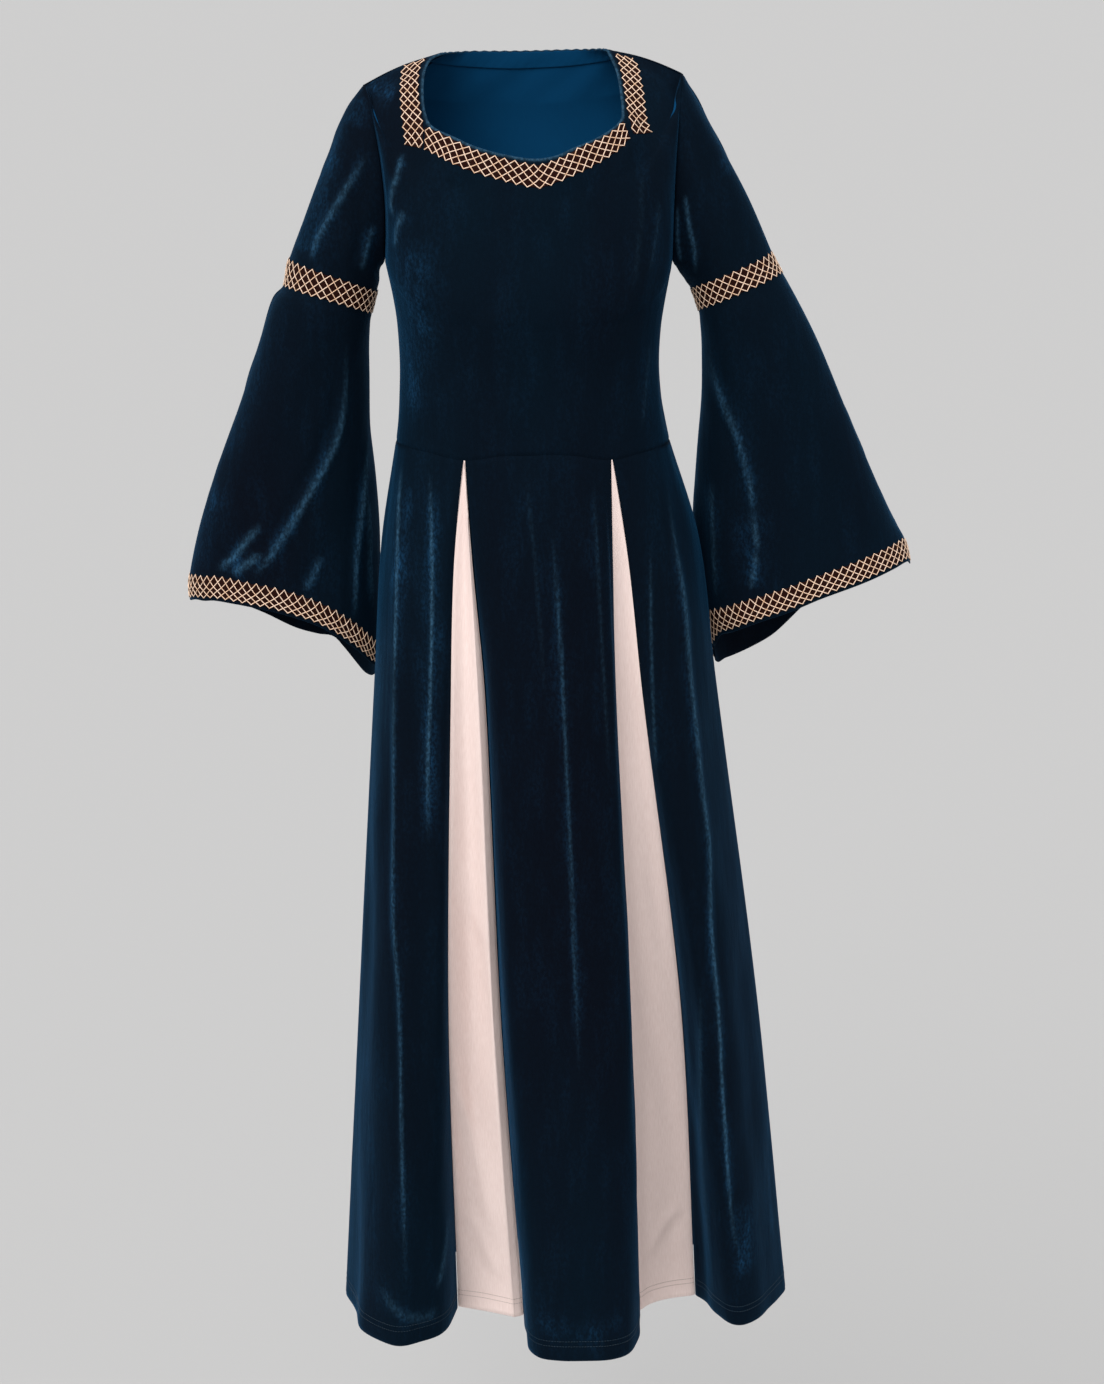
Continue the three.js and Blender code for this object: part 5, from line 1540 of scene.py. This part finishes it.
def seat_on_front(x, z):
    """The row and column of the front bodice that lie at x, z as seen from the front."""
    rough_u, rough_v = np.meshgrid(
        np.linspace(0.02, 0.98, SEAT_GRID), np.linspace(SEAT_LOW, SEAT_HIGH, SEAT_GRID)
    )
    rough = bodice_point(FRONT, rough_u, rough_v)
    u, v = np.zeros(len(x)), np.zeros(len(x))
    for i in range(len(x)):
        nearest = np.argmin((rough[..., 0] - x[i]) ** 2 + (rough[..., 2] - z[i]) ** 2)
        u[i], v[i] = rough_u.ravel()[nearest], rough_v.ravel()[nearest]
    for _ in range(SEAT_TRIES):
        here = bodice_point(FRONT, u, v)
        by_u = (bodice_point(FRONT, u + SEAT_STEP, v) - here) / SEAT_STEP
        by_v = (bodice_point(FRONT, u, v - SEAT_STEP) - here) / -SEAT_STEP
        off_x, off_z = x - here[:, 0], z - here[:, 2]
        scale = by_u[:, 0] * by_v[:, 2] - by_v[:, 0] * by_u[:, 2]
        move_u = (off_x * by_v[:, 2] - off_z * by_v[:, 0]) / scale
        move_v = (off_z * by_u[:, 0] - off_x * by_u[:, 2]) / scale
        u = np.clip(u + np.clip(move_u, -SEAT_JUMP, SEAT_JUMP), 0.001, 0.999)
        v = np.clip(v + np.clip(move_v, -SEAT_JUMP, SEAT_JUMP), 0.3, 0.9999)
    return panels["bodice_front"].sample(v, u)


def band_place(band, first, last):
    """Cells are spaced by the real length of the band, not by its rows."""
    rows = np.arange(len(band["top_x"]), dtype=float)
    fine = np.linspace(first, last, BAND_STEPS)
    edge = {name: track(rows, band[name], fine) for name in band}
    point, _ = seat_on_front((edge["top_x"] + edge["foot_x"]) / 2, (edge["top_z"] + edge["foot_z"]) / 2)
    lengths = walked(point[None], 1)[0]
    cells = round(lengths[-1] / PITCH)

    def place(cell, across):
        at = np.interp(np.asarray(cell) / cells * lengths[-1], lengths, fine)
        edges = {name: track(rows, band[name], at) for name in band}
        x = mix(edges["foot_x"], edges["top_x"], across)
        return seat_on_front(x, mix(edges["foot_z"], edges["top_z"], across))

    return place, cells


for node, band in NECK_TRIMS.items():
    end = len(band["top_x"]) - 1
    halves = [("_a", 0, MITRE_ROW), ("_b", MITRE_ROW, end)]
    for part, first, last in halves if node == "neck_trim_front" else [("", 0, end)]:
        place, cells = band_place(band, first, last)
        trim(node, place, cells, False, part)

# %% [markdown]
# ## Stitches
# A twin needle sews the hem, so two rows of stitches run side by side above the edge. The
# thread is blue on velvet and taupe on the pale godets. Each stitch is a small capsule of
# its own: at this size it catches the light like thread, and a painted line would not.

# %% Rows of stitches
STITCH_LENGTH, STITCH_GAP = 2.4, 0.9
STITCH_HALF, STITCH_SINK = 0.28, 0.05
HEM_STITCH_HEIGHTS = (18, 24.5)
STITCH_START, STITCH_AHEAD = 0.3, 0.1
# The share of its length and the size of each ring of a stitch.
STITCH_RINGS = ((0, 0.15), (0.25, 1), (0.75, 1), (1, 0.15))
RING_CORNERS = 4
PATH_POINTS = 60


def stitch_row(points, outward):
    """Small pointed capsules, end to end along a path."""
    lengths = walked(points[None], 1)[0]
    count = int(lengths[-1] / (STITCH_LENGTH + STITCH_GAP))
    starts = (np.arange(count) + STITCH_START) * (STITCH_LENGTH + STITCH_GAP)

    def at(distance):
        place = np.stack([np.interp(distance, lengths, points[:, k]) for k in range(3)], -1)
        out = np.stack([np.interp(distance, lengths, outward[:, k]) for k in range(3)], -1)
        return place, unit(out)

    rings = []
    for share, size in STITCH_RINGS:
        place, out = at(starts + share * STITCH_LENGTH)
        ahead = unit(at(starts + share * STITCH_LENGTH + STITCH_AHEAD)[0] - place)
        half = STITCH_HALF * size
        side, up = np.cross(ahead, out) * half, out * half
        middle = place + out * (half - STITCH_SINK)
        rings.append(np.stack([middle + side, middle + up, middle - side, middle - up], 1))
    loops = np.arange(len(rings) * RING_CORNERS).reshape(len(rings), RING_CORNERS)
    follow = np.roll(loops, -1, 1)
    quads = np.stack([loops[:-1], follow[:-1], follow[1:], loops[1:]], -1).reshape(-1, 4)
    one = np.concatenate([quads, [loops[0, ::-1], loops[-1]]])
    faces = (np.arange(count)[:, None, None] * loops.size + one).reshape(-1, 4)
    return np.stack(rings, 1).reshape(-1, 3), faces


def stitches(name, rows, material, slot):
    points, faces, start = [], [], 0
    for path, outward in rows:
        ring, quads = stitch_row(path, outward)
        points.append(ring)
        faces += (quads + start).tolist()
        start += len(ring)
    points = np.concatenate(points)
    obj = new_object(name, points, faces, (material,), points[:, [0, 2]])
    print(f"{name}: {len(points) // (len(STITCH_RINGS) * RING_CORNERS)} stitches")
    return dress(obj, slot)


for name, first, last, _ in SKIRT_PANELS:
    panel = panels[name]
    columns = np.linspace(panel.columns[0], panel.columns[-1], PATH_POINTS * (last - first))
    rows = []
    for height in HEM_STITCH_HEIGHTS:
        share = 1 - height / SKIRT_LENGTH
        rows.append(panel.sample(np.full(len(columns), share), columns))
    plain = name.startswith("godet")
    thread, slot = (TAUPE_THREAD, "godet_cloth") if plain else (BLUE_THREAD, "velvet")
    stitches(name + "_hem_stitches", rows, thread, slot)

# %% [markdown]
# ## What each sheet is cut to
# Every piece of cloth states the flat size that it was cut to, worked out from its own
# grid: the widest row, the longest column, and the area of the cloth.

for name, panel in panels.items():
    declare(cloths[name], panel)
declare(facing_cloth, facing)
for ground, cords, panel in trims:
    declare(ground, panel)
